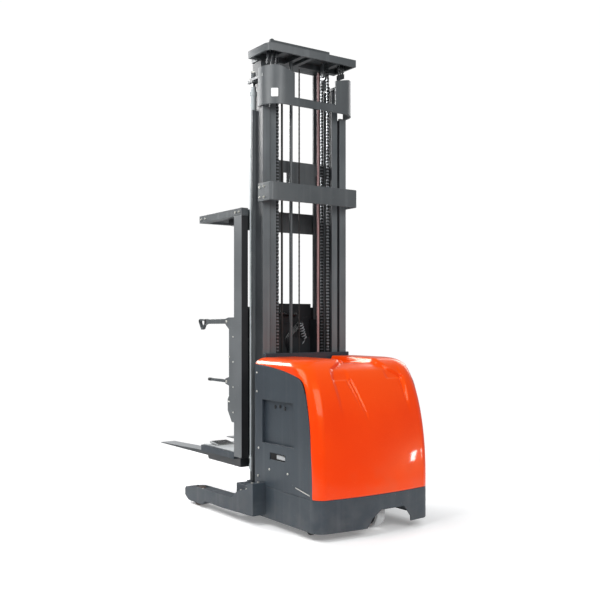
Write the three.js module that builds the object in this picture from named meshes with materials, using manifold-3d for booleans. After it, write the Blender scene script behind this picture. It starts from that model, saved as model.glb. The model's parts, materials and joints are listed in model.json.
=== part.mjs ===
// High-level order picker: power unit, three-stage mast, operator cab and forks.
// Millimetres, +Z up, +Y towards the forks, +X to the operator's right when facing the forks.
// Y is measured here from the rear face of the power unit, and the whole truck is centred at the end.

import * as THREE from 'three';
import { mergeVertices } from 'three/addons/utils/BufferGeometryUtils.js';
import Module from 'manifold-3d';

const wasm = await Module();
wasm.setup();

// ---------------------------------------------------------------- driving dimensions

const TRUCK_LENGTH = 2670;
const GAP = 0.5;

const BODY_HALF_WIDTH = 512;
const BODY_REAR_END = 845;
const GROUND_CLEARANCE = 55;
const SKIRT_TOP = 285;
const SKIRT_WALL = 12;
const SHELL = 8;

const HOOD_TOP = 1230;
const HOOD_LEAN = 350;
const HOOD_BULGE = 30;
const HOOD_CORNER = 85;
const SHOULDER_START = 1165;
const SHOULDER_WIDTH = 100;
const SEAM_GAP = 2.5;

const LEG_INNER = 512.5;
const LEG_OUTER = 620;
const LEG_TIP = 1783;
const LOAD_WHEEL_Y = 1600;
const LOAD_WHEEL_RADIUS = 75;

const DRIVE_X = 100;
const DRIVE_Y = 215;
const DRIVE_RADIUS = 115;
const CASTER_X = -400;
const CASTER_Y = 245;
const CASTER_RADIUS = 45;
const CASTER_TRAIL = 25;

const BASE_TOP = 250;
const BASE_REAR = 866;
const STAGE_FOOT = 280;
const OUTER = { inner: 335, outer: 400, front: 910, back: 1085, foot: BASE_TOP + GAP, top: 3154 };
const MIDDLE = { inner: 268, outer: 325, front: 925, back: 1055, foot: STAGE_FOOT, top: 3374 };
const INNER = { inner: 262, outer: 322, front: 1062, back: 1190, foot: STAGE_FOOT, top: 3557 };

const CYLINDER_X = 363;
const CYLINDER_Y = 1115;
const CYLINDER_RADIUS = 27.5;
const CYLINDER_FOOT = 326;
const CYLINDER_TOP = 3350;
const ROD_RADIUS = 17;
const ROD_TOP = 3373.5;

const HEAD_BOTTOM = 3558;
const HEAD_TOP = 3615;
const OVERALL_HEIGHT = 3690;
const CHAIN_Y = 990;
const CHAIN_X = 243;
const CHAIN_WIDTH = 24;
const CHAIN_HALF_THICK = 8;
const CHAIN_FOOT = 420;
const SHEAVE_PITCH = 40;
const SHEAVE_Z = 3505;

const CAB_HALF_WIDTH = 460;
const CAB_BACK = 1200;
const CAB_FRONT = 1800;
const POST_BACK = 1130;
const FLOOR_BOTTOM = 410;
const FLOOR_TOP = 460;
const GUARD_BOTTOM = 2335;
const GUARD_TOP = 2395;
const GUARD_FRONT = 1830;
const FORK_TIP = TRUCK_LENGTH;
const FORK_X = 350;
const FORK_HALF_WIDTH = 70;
const GATE_X = 434;
const GATE_PIVOT_Y = 1366;
const UPPER_GATE_Z = 1502;
const LOWER_GATE_Z = 1020;

// ---------------------------------------------------------------- materials

const PALETTE = {
  hood: { color: 0xf0440c, roughness: 0.25, metalness: 0 },
  body: { color: 0x464e56, roughness: 0.5, metalness: 0.1 },
  mast: { color: 0x63686c, roughness: 0.45, metalness: 0.3 },
  cylinder: { color: 0x8f9799, roughness: 0.35, metalness: 0.5 },
  black: { color: 0x15171a, roughness: 0.6, metalness: 0.1 },
  steel: { color: 0x9a9fa3, roughness: 0.3, metalness: 0.9 },
  chrome: { color: 0xd5d8da, roughness: 0.12, metalness: 1 },
  rubber: { color: 0x1b1b1b, roughness: 0.9, metalness: 0 },
  tread: { color: 0xb9bcbd, roughness: 0.6, metalness: 0 },
  loadTread: { color: 0x4d3f39, roughness: 0.6, metalness: 0 },
  mat: { color: 0xc3c7c8, roughness: 0.85, metalness: 0 },
  hose: { color: 0x9a6f68, roughness: 0.6, metalness: 0 },
  red: { color: 0xc21414, roughness: 0.35, metalness: 0 },
};

// ---------------------------------------------------------------- solids

// A closed geometry as a solid that can be joined and cut.
function solidFrom(geometry) {
  const bare = geometry.clone();
  bare.deleteAttribute('normal');
  bare.deleteAttribute('uv');
  const merged = mergeVertices(bare, 1e-3);
  return new wasm.Manifold(
    new wasm.Mesh({
      numProp: 3,
      vertProperties: Float32Array.from(merged.attributes.position.array),
      triVerts: Uint32Array.from(merged.index.array),
    }),
  );
}

function geometryFrom(solid) {
  const mesh = solid.getMesh();
  const geometry = new THREE.BufferGeometry();
  geometry.setAttribute('position', new THREE.BufferAttribute(Float32Array.from(mesh.vertProperties), 3));
  geometry.setIndex(new THREE.BufferAttribute(Uint32Array.from(mesh.triVerts), 1));
  geometry.computeVertexNormals();
  return geometry;
}

function block([x0, x1], [y0, y1], [z0, z1]) {
  const geometry = new THREE.BoxGeometry(x1 - x0, y1 - y0, z1 - z0);
  geometry.translate((x0 + x1) / 2, (y0 + y1) / 2, (z0 + z1) / 2);
  return solidFrom(geometry);
}

// The turn that lays an outline's own axes on the truck's axes, with the extrusion along the named axis.
const EXTRUSION_TURN = {
  x: new THREE.Matrix4().makeBasis(
    new THREE.Vector3(0, 1, 0), new THREE.Vector3(0, 0, 1), new THREE.Vector3(1, 0, 0)),
  y: new THREE.Matrix4().makeBasis(
    new THREE.Vector3(0, 0, 1), new THREE.Vector3(1, 0, 0), new THREE.Vector3(0, 1, 0)),
  z: new THREE.Matrix4(),
};

// Outline points are [y, z] along x, [z, x] along y and [x, y] along z.
function prism(axis, outline, [from, to], holes = []) {
  const shape = new THREE.Shape(outline.map(([a, b]) => new THREE.Vector2(a, b)));
  for (const hole of holes) {
    shape.holes.push(new THREE.Path(hole.map(([a, b]) => new THREE.Vector2(a, b))));
  }
  const geometry = new THREE.ExtrudeGeometry(shape, { depth: to - from, bevelEnabled: false });
  geometry.translate(0, 0, from);
  geometry.applyMatrix4(EXTRUSION_TURN[axis]);
  return solidFrom(geometry);
}

function circle([a, b], radius, sides) {
  const points = [];
  for (let i = 0; i < sides; i += 1) {
    const angle = (2 * Math.PI * i) / sides;
    points.push([a + radius * Math.cos(angle), b + radius * Math.sin(angle)]);
  }
  return points;
}

function rod(axis, centre, radius, span, sides = 16) {
  return prism(axis, circle(centre, radius, sides), span);
}

// A turned part about the X axis: profile points are [radius, distance along X] and close on themselves.
function turnedAboutX(profile, [y, z], sides) {
  const closed = [...profile, profile[0]].map(([radius, along]) => new THREE.Vector2(radius, along));
  const geometry = new THREE.LatheGeometry(closed, sides);
  geometry.rotateZ(-Math.PI / 2);
  geometry.translate(0, y, z);
  return solidFrom(geometry);
}

function union(first, ...others) {
  return others.reduce((whole, piece) => whole.add(piece), first);
}

function cut(whole, ...pieces) {
  return pieces.reduce((left, piece) => left.subtract(piece), whole);
}

// A span on one side of the truck: side -1 is left, +1 is right.
function onSide(side, near, far) {
  return side < 0 ? [-far, -near] : [near, far];
}

const SIDES = [['left', -1], ['right', 1]];

function add(group, name, solid, finish) {
  const mesh = new THREE.Mesh(geometryFrom(solid), new THREE.MeshStandardMaterial(PALETTE[finish]));
  mesh.name = name;
  group.add(mesh);
  return mesh;
}

// ---------------------------------------------------------------- power unit body

// The outer surface of the power unit at one level of the hood: level 0 is its foot, 1 its crown.
function bodyLevel(level, inset) {
  const angle = (level * Math.PI) / 2;
  const top = HOOD_TOP - inset;
  const height = SKIRT_TOP + (top - SKIRT_TOP) * Math.sin(angle);
  const shoulder = Math.max(0, (height - SHOULDER_START) / (top - SHOULDER_START));
  return {
    height,
    half: BODY_HALF_WIDTH - inset - SHOULDER_WIDTH * (1 - Math.sqrt(1 - Math.min(1, shoulder) ** 2)),
    front: inset + HOOD_LEAN * (1 - Math.cos(angle)),
    bulge: HOOD_BULGE * (1 - Math.sin(angle)),
    corner: HOOD_CORNER - inset + 60 * (1 - Math.cos(angle)),
  };
}

// The plan outline at one level: straight sides, round rear corners and a slightly bowed rear face.
function bodyOutline({ half, front, bulge, corner }, end) {
  const cornerSteps = 6;
  const faceSteps = 6;
  const flat = half - corner;
  const points = [[-half, end]];
  for (let i = 0; i <= cornerSteps; i += 1) {
    const turn = (Math.PI / 2) * (i / cornerSteps);
    points.push([-flat - corner * Math.cos(turn), front + bulge + corner * (1 - Math.sin(turn))]);
  }
  for (let i = 1; i < faceSteps; i += 1) {
    const across = -1 + (2 * i) / faceSteps;
    points.push([flat * across, front + bulge * across ** 2]);
  }
  for (let i = cornerSteps; i >= 0; i -= 1) {
    const turn = (Math.PI / 2) * (i / cornerSteps);
    points.push([flat + corner * Math.cos(turn), front + bulge + corner * (1 - Math.sin(turn))]);
  }
  points.push([half, end]);
  return points;
}

// A solid lofted through the hood's levels, with flat ends.
function hoodLoft(inset, end, foot) {
  const levels = [0, 0.16, 0.3, 0.43, 0.56, 0.67, 0.762, 0.82, 0.88, 0.93, 0.97, 1];
  const positions = [];
  const triangles = [];
  const rings = levels.map((level) => bodyLevel(level, inset));
  const first = rings[0];
  const count = bodyOutline(first, end).length;
  for (const ring of [{ ...first, height: foot }, ...rings.slice(1)]) {
    for (const [x, y] of bodyOutline(ring, end)) {
      positions.push(x, y, ring.height);
    }
  }
  for (let ring = 0; ring < levels.length - 1; ring += 1) {
    for (let i = 0; i < count; i += 1) {
      const a = ring * count + i;
      const b = ring * count + ((i + 1) % count);
      triangles.push(a, b, b + count, a, b + count, a + count);
    }
  }
  const crown = (levels.length - 1) * count;
  for (let i = 1; i < count - 1; i += 1) {
    triangles.push(0, i + 1, i);
    triangles.push(crown, crown + i, crown + i + 1);
  }
  const geometry = new THREE.BufferGeometry();
  geometry.setAttribute('position', new THREE.Float32BufferAttribute(positions, 3));
  geometry.setIndex(triangles);
  return solidFrom(geometry);
}

// The seam between the orange hood and the dark side panel, as [y, z], from the skirt up and towards
// the mast.
function seamPoints() {
  const corners = [
    [104, SKIRT_TOP + 1.5], [106, 422], [118, 592], [135, 767], [172, 936], [214, 1048],
    [264, 1100], [372, 1130], [540, 1158], [730, 1176], [BODY_REAR_END, 1182],
  ];
  const curve = new THREE.SplineCurve(corners.map(([y, z]) => new THREE.Vector2(y, z)));
  return curve.getPoints(30).map((point) => [point.x, point.y]);
}

const POCKET = { back: 330, front: 740, bottom: 607, top: 925, depth: 26 };
const LATCH_SLOT = { back: 436, front: 636, bottom: 495, top: 545 };
const LATCH_PIVOT = [545, 520];

function rectangle(a0, a1, b0, b1) {
  return [[a0, b0], [a1, b0], [a1, b1], [a0, b1]];
}

function buildBody(group) {
  const foot = bodyLevel(0, 0);
  const footInside = bodyLevel(0, SKIRT_WALL);
  const skirtOuter = prism('z', bodyOutline(foot, BODY_REAR_END), [GROUND_CLEARANCE, SKIRT_TOP]);
  const skirtInner = prism('z', bodyOutline(footInside, BODY_REAR_END + 50), [0, SKIRT_TOP + 50]);
  const archOutline = [[0, -140], [0, 312], [90, 305], [172, 240], [172, 20], [120, -60]];
  const wheelArch = prism('y', archOutline, [-50, 70]);
  add(group, 'chassis_skirt', cut(skirtOuter, skirtInner, wheelArch), 'body');

  const seam = seamPoints();
  const panelOutline = [[BODY_REAR_END, SKIRT_TOP + 1.5], ...seam];
  const grown = [
    [BODY_REAR_END + 20, SKIRT_TOP - 20],
    [seam[0][0] - SEAM_GAP, SKIRT_TOP - 20],
    ...seam.map(([y, z]) => [y - SEAM_GAP, z + SEAM_GAP]),
    [BODY_REAR_END + 20, seam[seam.length - 1][1] + SEAM_GAP],
  ];
  const panelCuts = SIDES.map(([, side]) => prism('x', grown, onSide(side, 440, 560)));
  const hood = cut(hoodLoft(0, BODY_REAR_END, SKIRT_TOP + 1), hoodLoft(SHELL, BODY_REAR_END + 30, 200));
  add(group, 'hood', cut(hood, ...panelCuts), 'hood');

  for (const [name, side] of SIDES) {
    const sheet = prism('x', panelOutline, onSide(side, BODY_HALF_WIDTH - SHELL, BODY_HALF_WIDTH));
    const floor = BODY_HALF_WIDTH - POCKET.depth;
    const pocket = block(
      onSide(side, floor - 6, BODY_HALF_WIDTH - SHELL + 2),
      [POCKET.back - 7, POCKET.front + 7],
      [POCKET.bottom - 7, POCKET.top + 7]);
    const hollow = block(
      onSide(side, floor, BODY_HALF_WIDTH + 10), [POCKET.back, POCKET.front], [POCKET.bottom, POCKET.top]);
    const slot = block(
      onSide(side, 480, BODY_HALF_WIDTH + 10),
      [LATCH_SLOT.back, LATCH_SLOT.front],
      [LATCH_SLOT.bottom, LATCH_SLOT.top]);
    const cuts = side < 0 ? [hollow, slot] : [hollow];
    add(group, `side_panel_${name}`, cut(union(sheet, pocket), ...cuts), 'body');
  }

  const lever = prism('x', [[450, 505], [560, 505], [560, 535], [470, 535], [450, 525]], [-502, -492]);
  const eye = rod('x', LATCH_PIVOT, 9, [-500, -478], 12);
  add(group, 'latch_lever', union(lever, eye), 'steel');
}

// ---------------------------------------------------------------- chassis and drive

function buildBaseFrame(group) {
  const floor = block([-490, 490], [345, BASE_REAR + 4], [130, 155]);
  const crossBeam = block([-512, 512], [BASE_REAR, 1118], [62, BASE_TOP]);
  const cylinderBeam = block([-394, 394], [1110, 1160], [62, BASE_TOP]);
  const seats = SIDES.map(([, side]) => rod(
    'z', [side * CYLINDER_X, CYLINDER_Y], 24, [BASE_TOP - 5, CYLINDER_FOOT - GAP], 16));
  const drivePlate = block([-400, 400], [110, 352], [430, 455]);
  const driveHole = rod('z', [DRIVE_X, DRIVE_Y], 66, [400, 480], 24);
  const webs = [-392, 380].map((x) => block([x, x + 12], [110, 352], [140, 440]));
  const wall = block([-400, 400], [345, 357], [140, 455]);
  const casterPad = block([-460, -380], [170, 352], [135, 150]);
  const bulkhead = block([-400, 400], [BASE_REAR + 6, 900], [BASE_TOP - 5, 1258]);
  const pieces = [floor, crossBeam, cylinderBeam, ...seats, drivePlate, ...webs, wall, casterPad, bulkhead];
  const frame = cut(union(...pieces), driveHole);
  add(group, 'base_frame', frame, 'black');
}

function buildLegs(group) {
  const profile = [
    [700, 76], [1130, 60], [1440, 60], [1490, 26], [1720, 26], [LEG_TIP, 60],
    [LEG_TIP, 112], [1768, 130], [1617, 153], [1009, 165], [922, 229], [783, 263], [783, 306], [700, 312],
  ];
  for (const [name, side] of SIDES) {
    const whole = prism('x', profile, onSide(side, LEG_INNER, LEG_OUTER));
    const wellOutline = rectangle(...onSide(side, LEG_INNER + 14, LEG_OUTER - 14), 1500, 1712);
    const well = prism('z', wellOutline, [-10, 300]);
    const underside = block(onSide(side, LEG_INNER + 10, LEG_OUTER - 10), [920, 1420], [30, 140]);
    const axleSpan = onSide(side, LEG_INNER + 6, LEG_OUTER - 6);
    const axle = rod('x', [LOAD_WHEEL_Y, LOAD_WHEEL_RADIUS], 12, axleSpan, 16);
    add(group, `straddle_leg_${name}`, union(cut(whole, well, underside), axle), 'body');

    const [inside, outside] = onSide(side, LEG_INNER + 17, LEG_OUTER - 17);
    const wheel = turnedAboutX([
      [13.5, inside], [LOAD_WHEEL_RADIUS - 6, inside], [LOAD_WHEEL_RADIUS, inside + 6],
      [LOAD_WHEEL_RADIUS, outside - 6], [LOAD_WHEEL_RADIUS - 6, outside], [13.5, outside],
    ], [LOAD_WHEEL_Y, LOAD_WHEEL_RADIUS], 32);
    add(group, `load_wheel_${name}`, wheel, 'loadTread');
  }
}

function buildDrive(group) {
  const half = 37;
  const wheel = turnedAboutX([
    [16, DRIVE_X - half], [62, DRIVE_X - half], [66, DRIVE_X - half + 8],
    [DRIVE_RADIUS - 22, DRIVE_X - half + 8], [DRIVE_RADIUS - 18, DRIVE_X - half],
    [DRIVE_RADIUS - 4, DRIVE_X - half], [DRIVE_RADIUS, DRIVE_X - half + 4],
    [DRIVE_RADIUS, DRIVE_X + half - 4], [DRIVE_RADIUS - 4, DRIVE_X + half], [16, DRIVE_X + half],
  ], [DRIVE_Y, DRIVE_RADIUS], 40);
  add(group, 'drive_wheel', wheel, 'tread');

  const head = rod('z', [DRIVE_X, DRIVE_Y], 92, [250, 420], 28);
  const neck = rod('z', [DRIVE_X, DRIVE_Y], 60, [415, 458], 24);
  const side = prism('x', [[165, 255], [165, 110], [185, 70], [245, 70], [265, 110], [265, 255]],
    [DRIVE_X + half + 6, DRIVE_X + half + 48]);
  const stub = rod('x', [DRIVE_Y, DRIVE_RADIUS], 15, [DRIVE_X - 30, DRIVE_X + half + 20], 16);
  add(group, 'drive_gearbox', union(head, neck, side, stub), 'black');

  const motorBody = rod('z', [DRIVE_X, DRIVE_Y], 76, [458.5, 700], 28);
  const motorCap = rod('z', [DRIVE_X, DRIVE_Y], 60, [695, 740], 24);
  add(group, 'drive_motor', union(motorBody, motorCap), 'black');

  const plate = rod('z', [CASTER_X, CASTER_Y], 30, [104, 134.5], 20);
  const crown = block([CASTER_X - 26, CASTER_X + 26], [CASTER_Y - 28, CASTER_Y + 40], [97, 105]);
  const casterAxle = CASTER_Y + CASTER_TRAIL;
  const cheekOutline = [
    [CASTER_Y - 24, 100], [casterAxle - 14, 32], [casterAxle + 14, 32], [CASTER_Y + 38, 100],
  ];
  const cheeks = [-26, 20].map((x) => prism('x', cheekOutline, [CASTER_X + x, CASTER_X + x + 6]));
  const pin = rod('x', [casterAxle, CASTER_RADIUS], 6, [CASTER_X - 24, CASTER_X + 24], 12);
  add(group, 'caster_fork', union(plate, crown, ...cheeks, pin), 'black');

  const caster = turnedAboutX([
    [7, CASTER_X - 17], [CASTER_RADIUS - 4, CASTER_X - 17], [CASTER_RADIUS, CASTER_X - 13],
    [CASTER_RADIUS, CASTER_X + 13], [CASTER_RADIUS - 4, CASTER_X + 17], [7, CASTER_X + 17],
  ], [casterAxle, CASTER_RADIUS], 28);
  add(group, 'caster_wheel', caster, 'rubber');
}

function buildPowerPack(group) {
  const box = block([-400, 400], [372, 800], [155.5, 800]);
  const lid = block([-390, 390], [382, 790], [795, 820]);
  const plugs = [-250, 0, 250].map((x) => rod('z', [x, 586], 28, [815, 840], 12));
  add(group, 'battery_pack', union(box, lid, ...plugs), 'black');

  const tank = block([-385, -130], [150, 330], [455.5, 640]);
  const pumpMotor = rod('z', [-300, 240], 62, [635, 800], 20);
  const valve = block([-220, -150], [190, 290], [635, 700]);
  add(group, 'hydraulic_unit', union(tank, pumpMotor, valve), 'black');

  const caseBody = block([-220, 220], [420, 640], [840.5, 930]);
  const fins = [];
  for (let x = -200; x <= 190; x += 39) {
    fins.push(block([x, x + 10], [430, 630], [925, 960]));
  }
  add(group, 'motor_controller', union(caseBody, ...fins), 'steel');
}

// ---------------------------------------------------------------- mast

// The plan section of an I-shaped channel between two flanges.
function iSection({ inner, outer, front, back }, flange, web, side) {
  const middle = (inner + outer) / 2;
  const points = [
    [inner, front], [outer, front], [outer, front + flange], [middle + web / 2, front + flange],
    [middle + web / 2, back - flange], [outer, back - flange], [outer, back], [inner, back],
    [inner, back - flange], [middle - web / 2, back - flange], [middle - web / 2, front + flange],
    [inner, front + flange],
  ];
  return points.map(([x, y]) => [side * x, y]);
}

// The plan section of a channel that opens towards the middle of the truck.
function cSection({ inner, outer, front, back }, flange, web, side) {
  const points = [
    [inner, front], [outer, front], [outer, back], [inner, back],
    [inner, back - flange], [outer - web, back - flange], [outer - web, front + flange],
    [inner, front + flange],
  ];
  return points.map(([x, y]) => [side * x, y]);
}

const YOKE_SHELF = 3374.5;
const TIE = { half: 417, wall: 16, face: 774, depth: 14 };

// A crossbeam that wraps the rear corners of the mast: the plan outline, open towards the forks.
function wrapOutline(end, corner, half = TIE.half, face = TIE.face) {
  const points = [[-half, end]];
  const steps = 8;
  for (let i = 0; i <= steps; i += 1) {
    const turn = (Math.PI / 2) * (i / steps);
    points.push([-half + corner * (1 - Math.cos(turn)), face + corner * (1 - Math.sin(turn))]);
  }
  for (let i = steps; i >= 0; i -= 1) {
    const turn = (Math.PI / 2) * (i / steps);
    points.push([half - corner * (1 - Math.cos(turn)), face + corner * (1 - Math.sin(turn))]);
  }
  points.push([half, end]);
  return points;
}

function wrapBand(end, corner, span) {
  const outside = prism('z', wrapOutline(end, corner), span);
  const inner = wrapOutline(end + 50, corner - TIE.wall, TIE.half - TIE.wall, TIE.face + TIE.depth);
  const inside = prism('z', inner, [span[0] - 50, span[1] + 50]);
  return cut(outside, inside);
}

function buildOuterMast(group) {
  for (const [name, side] of SIDES) {
    const channel = prism('z', iSection(OUTER, 22, 14, side), [OUTER.foot, OUTER.top]);
    add(group, `outer_mast_${name}`, channel, 'mast');
  }

  const crossbeam = wrapBand(955, 12 + TIE.wall, [2420, 2560]);
  add(group, 'outer_crossbeam', crossbeam, 'mast');

  for (const [name, side] of SIDES) {
    const centre = [side * CYLINDER_X, CYLINDER_Y];
    const barrel = rod('z', centre, CYLINDER_RADIUS, [CYLINDER_FOOT, CYLINDER_TOP - 40], 20);
    const gland = rod('z', centre, 23, [CYLINDER_TOP - 45, CYLINDER_TOP], 20);
    const bore = rod('z', centre, ROD_RADIUS + 2, [CYLINDER_FOOT + 40, CYLINDER_TOP + 10], 20);
    add(group, `lift_cylinder_${name}`, cut(union(barrel, gland), bore), 'cylinder');
  }
}

function buildMiddleMast(group) {
  for (const [name, side] of SIDES) {
    const channel = prism('z', iSection(MIDDLE, 20, 12, side), [MIDDLE.foot, MIDDLE.top]);
    add(group, `middle_mast_${name}`, channel, 'mast');

    const chain = block(onSide(side, 270, 286), [982, 998], [STAGE_FOOT + 60, MIDDLE.top]);
    add(group, `lift_chain_${name}`, chain, 'black');

    const stem = rod('z', [side * CYLINDER_X, CYLINDER_Y], ROD_RADIUS, [CYLINDER_FOOT + 60, ROD_TOP], 20);
    add(group, `cylinder_rod_${name}`, stem, 'chrome');
  }

  const corner = 140;
  const band = wrapBand(955, corner, [3156, 3395]);
  const window = prism('y', [[3220, -196], [3500, -196], [3500, 196], [3220, 196]], [700, 860]);
  const upper = cut(wrapBand(955, corner, [3390, 3452]), block([-196, 196], [700, 1000], [3300, 3500]));
  const slope = prism('y', [
    [3452, -430], [3452, -340], [3408, -196], [3408, 196], [3440, 340], [3440, 430],
    [3600, 430], [3600, -430],
  ], [700, 1000]);
  const shelves = SIDES.map(([, side]) => union(
    block(onSide(side, MIDDLE.inner, TIE.half), [880, 1056], [YOKE_SHELF, YOKE_SHELF + 20]),
    block(onSide(side, 336, 396), [1050, 1150], [YOKE_SHELF, YOKE_SHELF + 20])));
  const studs = SIDES.map(([, side]) => rod('z', [side * CYLINDER_X, CYLINDER_Y], 22, [3390, 3456], 16));
  const yoke = union(cut(union(band, upper), window, slope), ...shelves, ...studs);
  add(group, 'middle_yoke', yoke, 'mast');

  const plate = block([-267, 267], [1041, 1053], [2588, 2785]);
  const notches = [[-124, -92], [190, 240]].map((span) => block(span, [1000, 1100], [2560, 2690]));
  add(group, 'middle_tie', cut(plate, ...notches), 'mast');
}

// Straight run of hose or pipe between the channels.
function riser(x, radius, top) {
  return rod('z', [x, CHAIN_Y], radius, [STAGE_FOOT, top], 10);
}

function buildLines(group) {
  const top = HEAD_BOTTOM - 40;
  add(group, 'hose_left', riser(-174, 9, top), 'black');
  add(group, 'hose_right', riser(177, 10, top), 'hose');
  add(group, 'control_cable', riser(-9, 6, top), 'black');
}

function buildInnerMast(group) {
  for (const [name, side] of SIDES) {
    const channel = prism('z', cSection(INNER, 18, 14, side), [INNER.foot, INNER.top]);
    add(group, `inner_mast_${name}`, channel, 'mast');
  }
  add(group, 'riser_pipe', rod('z', [-88, CHAIN_Y], 14, [STAGE_FOOT, HEAD_BOTTOM - GAP], 16), 'cylinder');

  const rounded = [
    [-418, 1100], [-418, 850], [-404, 816], [-370, 800], [418, 800], [418, 1100], [330, 1100],
    [330, 1190], [-330, 1190], [-330, 1100],
  ];
  const slab = prism('z', rounded, [HEAD_BOTTOM, HEAD_TOP]);
  const hollow = block([-400, 400], [815, 1050], [HEAD_BOTTOM - 10, HEAD_TOP - 14]);
  const webs = [-260, -88, 0, 260].map(
    (x) => block([x - 20, x + 20], [812, 1060], [HEAD_BOTTOM, HEAD_TOP - 5]));
  const hangers = [];
  for (const [, side] of SIDES) {
    for (const [near, far] of [[216, 224], [262, 270]]) {
      hangers.push(block(onSide(side, near, far), [970, 1010], [SHEAVE_Z - 18, HEAD_TOP - 5]));
    }
    hangers.push(rod('x', [CHAIN_Y, SHEAVE_Z], 9.5, onSide(side, 218, 268), 16));
  }
  const slots = [[-262, -180], [40, 92], [120, 210]].map(
    (span) => block(span, [900, 960], [HEAD_TOP + 18, HEAD_TOP + 44]));
  const upright = cut(block([-300, 245], [925, 939], [HEAD_TOP - 20, OVERALL_HEIGHT - 8]), ...slots);
  const lug = rod('y', [OVERALL_HEIGHT - 20, -306], 20, [922, 942], 12);
  add(group, 'head_plate', union(cut(slab, hollow), ...webs, ...hangers, upright, lug), 'mast');

  for (const [name, side] of SIDES) {
    const middle = side * CHAIN_X;
    const sheave = turnedAboutX([
      [10.5, middle - 16], [36, middle - 16], [36, middle - 12.5], [31, middle - 12.5],
      [31, middle + 12.5], [36, middle + 12.5], [36, middle + 16], [10.5, middle + 16],
    ], [CHAIN_Y, SHEAVE_Z], 24);
    add(group, `head_sheave_${name}`, sheave, 'steel');
    add(group, `carriage_chain_${name}`, chainLoop(middle), 'black');
  }
}

// A leaf chain that hangs over its head sheave: two straight runs joined by half a turn.
function chainLoop(middle) {
  const outer = SHEAVE_PITCH + CHAIN_HALF_THICK;
  const inner = SHEAVE_PITCH - CHAIN_HALF_THICK;
  const steps = 10;
  const outline = [[CHAIN_Y + outer, CHAIN_FOOT], [CHAIN_Y + outer, SHEAVE_Z]];
  for (let i = 1; i < steps; i += 1) {
    const turn = (Math.PI * i) / steps;
    outline.push([CHAIN_Y + outer * Math.cos(turn), SHEAVE_Z + outer * Math.sin(turn)]);
  }
  outline.push([CHAIN_Y - outer, SHEAVE_Z], [CHAIN_Y - outer, CHAIN_FOOT]);
  outline.push([CHAIN_Y - inner, CHAIN_FOOT], [CHAIN_Y - inner, SHEAVE_Z]);
  for (let i = steps - 1; i > 0; i -= 1) {
    const turn = (Math.PI * i) / steps;
    outline.push([CHAIN_Y + inner * Math.cos(turn), SHEAVE_Z + inner * Math.sin(turn)]);
  }
  outline.push([CHAIN_Y + inner, SHEAVE_Z], [CHAIN_Y + inner, CHAIN_FOOT]);
  return prism('x', outline, [middle - CHAIN_WIDTH / 2, middle + CHAIN_WIDTH / 2]);
}

// ---------------------------------------------------------------- cab and forks

function buildCarriage(group) {
  const cheeks = SIDES.map(([, side]) => block(onSide(side, 244, 256), [1085, 1212], [560, 1520]));
  const back = block([-396, 396], [CAB_BACK, 1212], [430, 1370]);
  const rollers = [];
  for (const [, side] of SIDES) {
    for (const z of [640, 1420]) {
      rollers.push(rod('x', [1126, z], 42, onSide(side, 250, 300), 20));
    }
  }
  add(group, 'carriage_frame', union(...cheeks, back, ...rollers), 'black');

  for (const [name, side] of SIDES) {
    const profile = [
      [1213, 345], [1745, 345], [1755, 372], [FORK_TIP, 372], [FORK_TIP, 379], [1900, 404], [1700, 408.5],
      [1252, 408.5], [1252, 900], [1213, 900],
    ];
    const fork = prism('x', profile, onSide(side, FORK_X - FORK_HALF_WIDTH, FORK_X + FORK_HALF_WIDTH));
    const postRoom = block(onSide(side, 398, 440), [1200, 1260], [415, 950]);
    add(group, `fork_${name}`, cut(fork, postRoom), 'body');
  }
}

function buildPlatform(group) {
  const floor = block([-CAB_HALF_WIDTH, CAB_HALF_WIDTH], [1253, CAB_FRONT], [FLOOR_BOTTOM, FLOOR_TOP]);
  const shanks = SIDES.map(([, side]) => block(
    onSide(side, FORK_X - FORK_HALF_WIDTH - 1, FORK_X + FORK_HALF_WIDTH + 1),
    [1200, 1253 + GAP], [380, 500]));
  add(group, 'platform_floor', cut(floor, ...shanks), 'body');

  const mat = block([-444, 444], [1275, 1780], [FLOOR_TOP + GAP, FLOOR_TOP + 8]);
  const pedalRoom = block([-405, -215], [1620, 1785], [FLOOR_TOP - 5, FLOOR_TOP + 20]);
  add(group, 'floor_mat', cut(mat, pedalRoom), 'mat');
  const pedalSide = [
    [1630, FLOOR_TOP + 2], [1772, FLOOR_TOP + 14], [1772, FLOOR_TOP + 28], [1630, FLOOR_TOP + 14],
  ];
  const pedal = prism('x', pedalSide, [-395, -225]);
  add(group, 'presence_pedal', pedal, 'mat');
}

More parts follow.
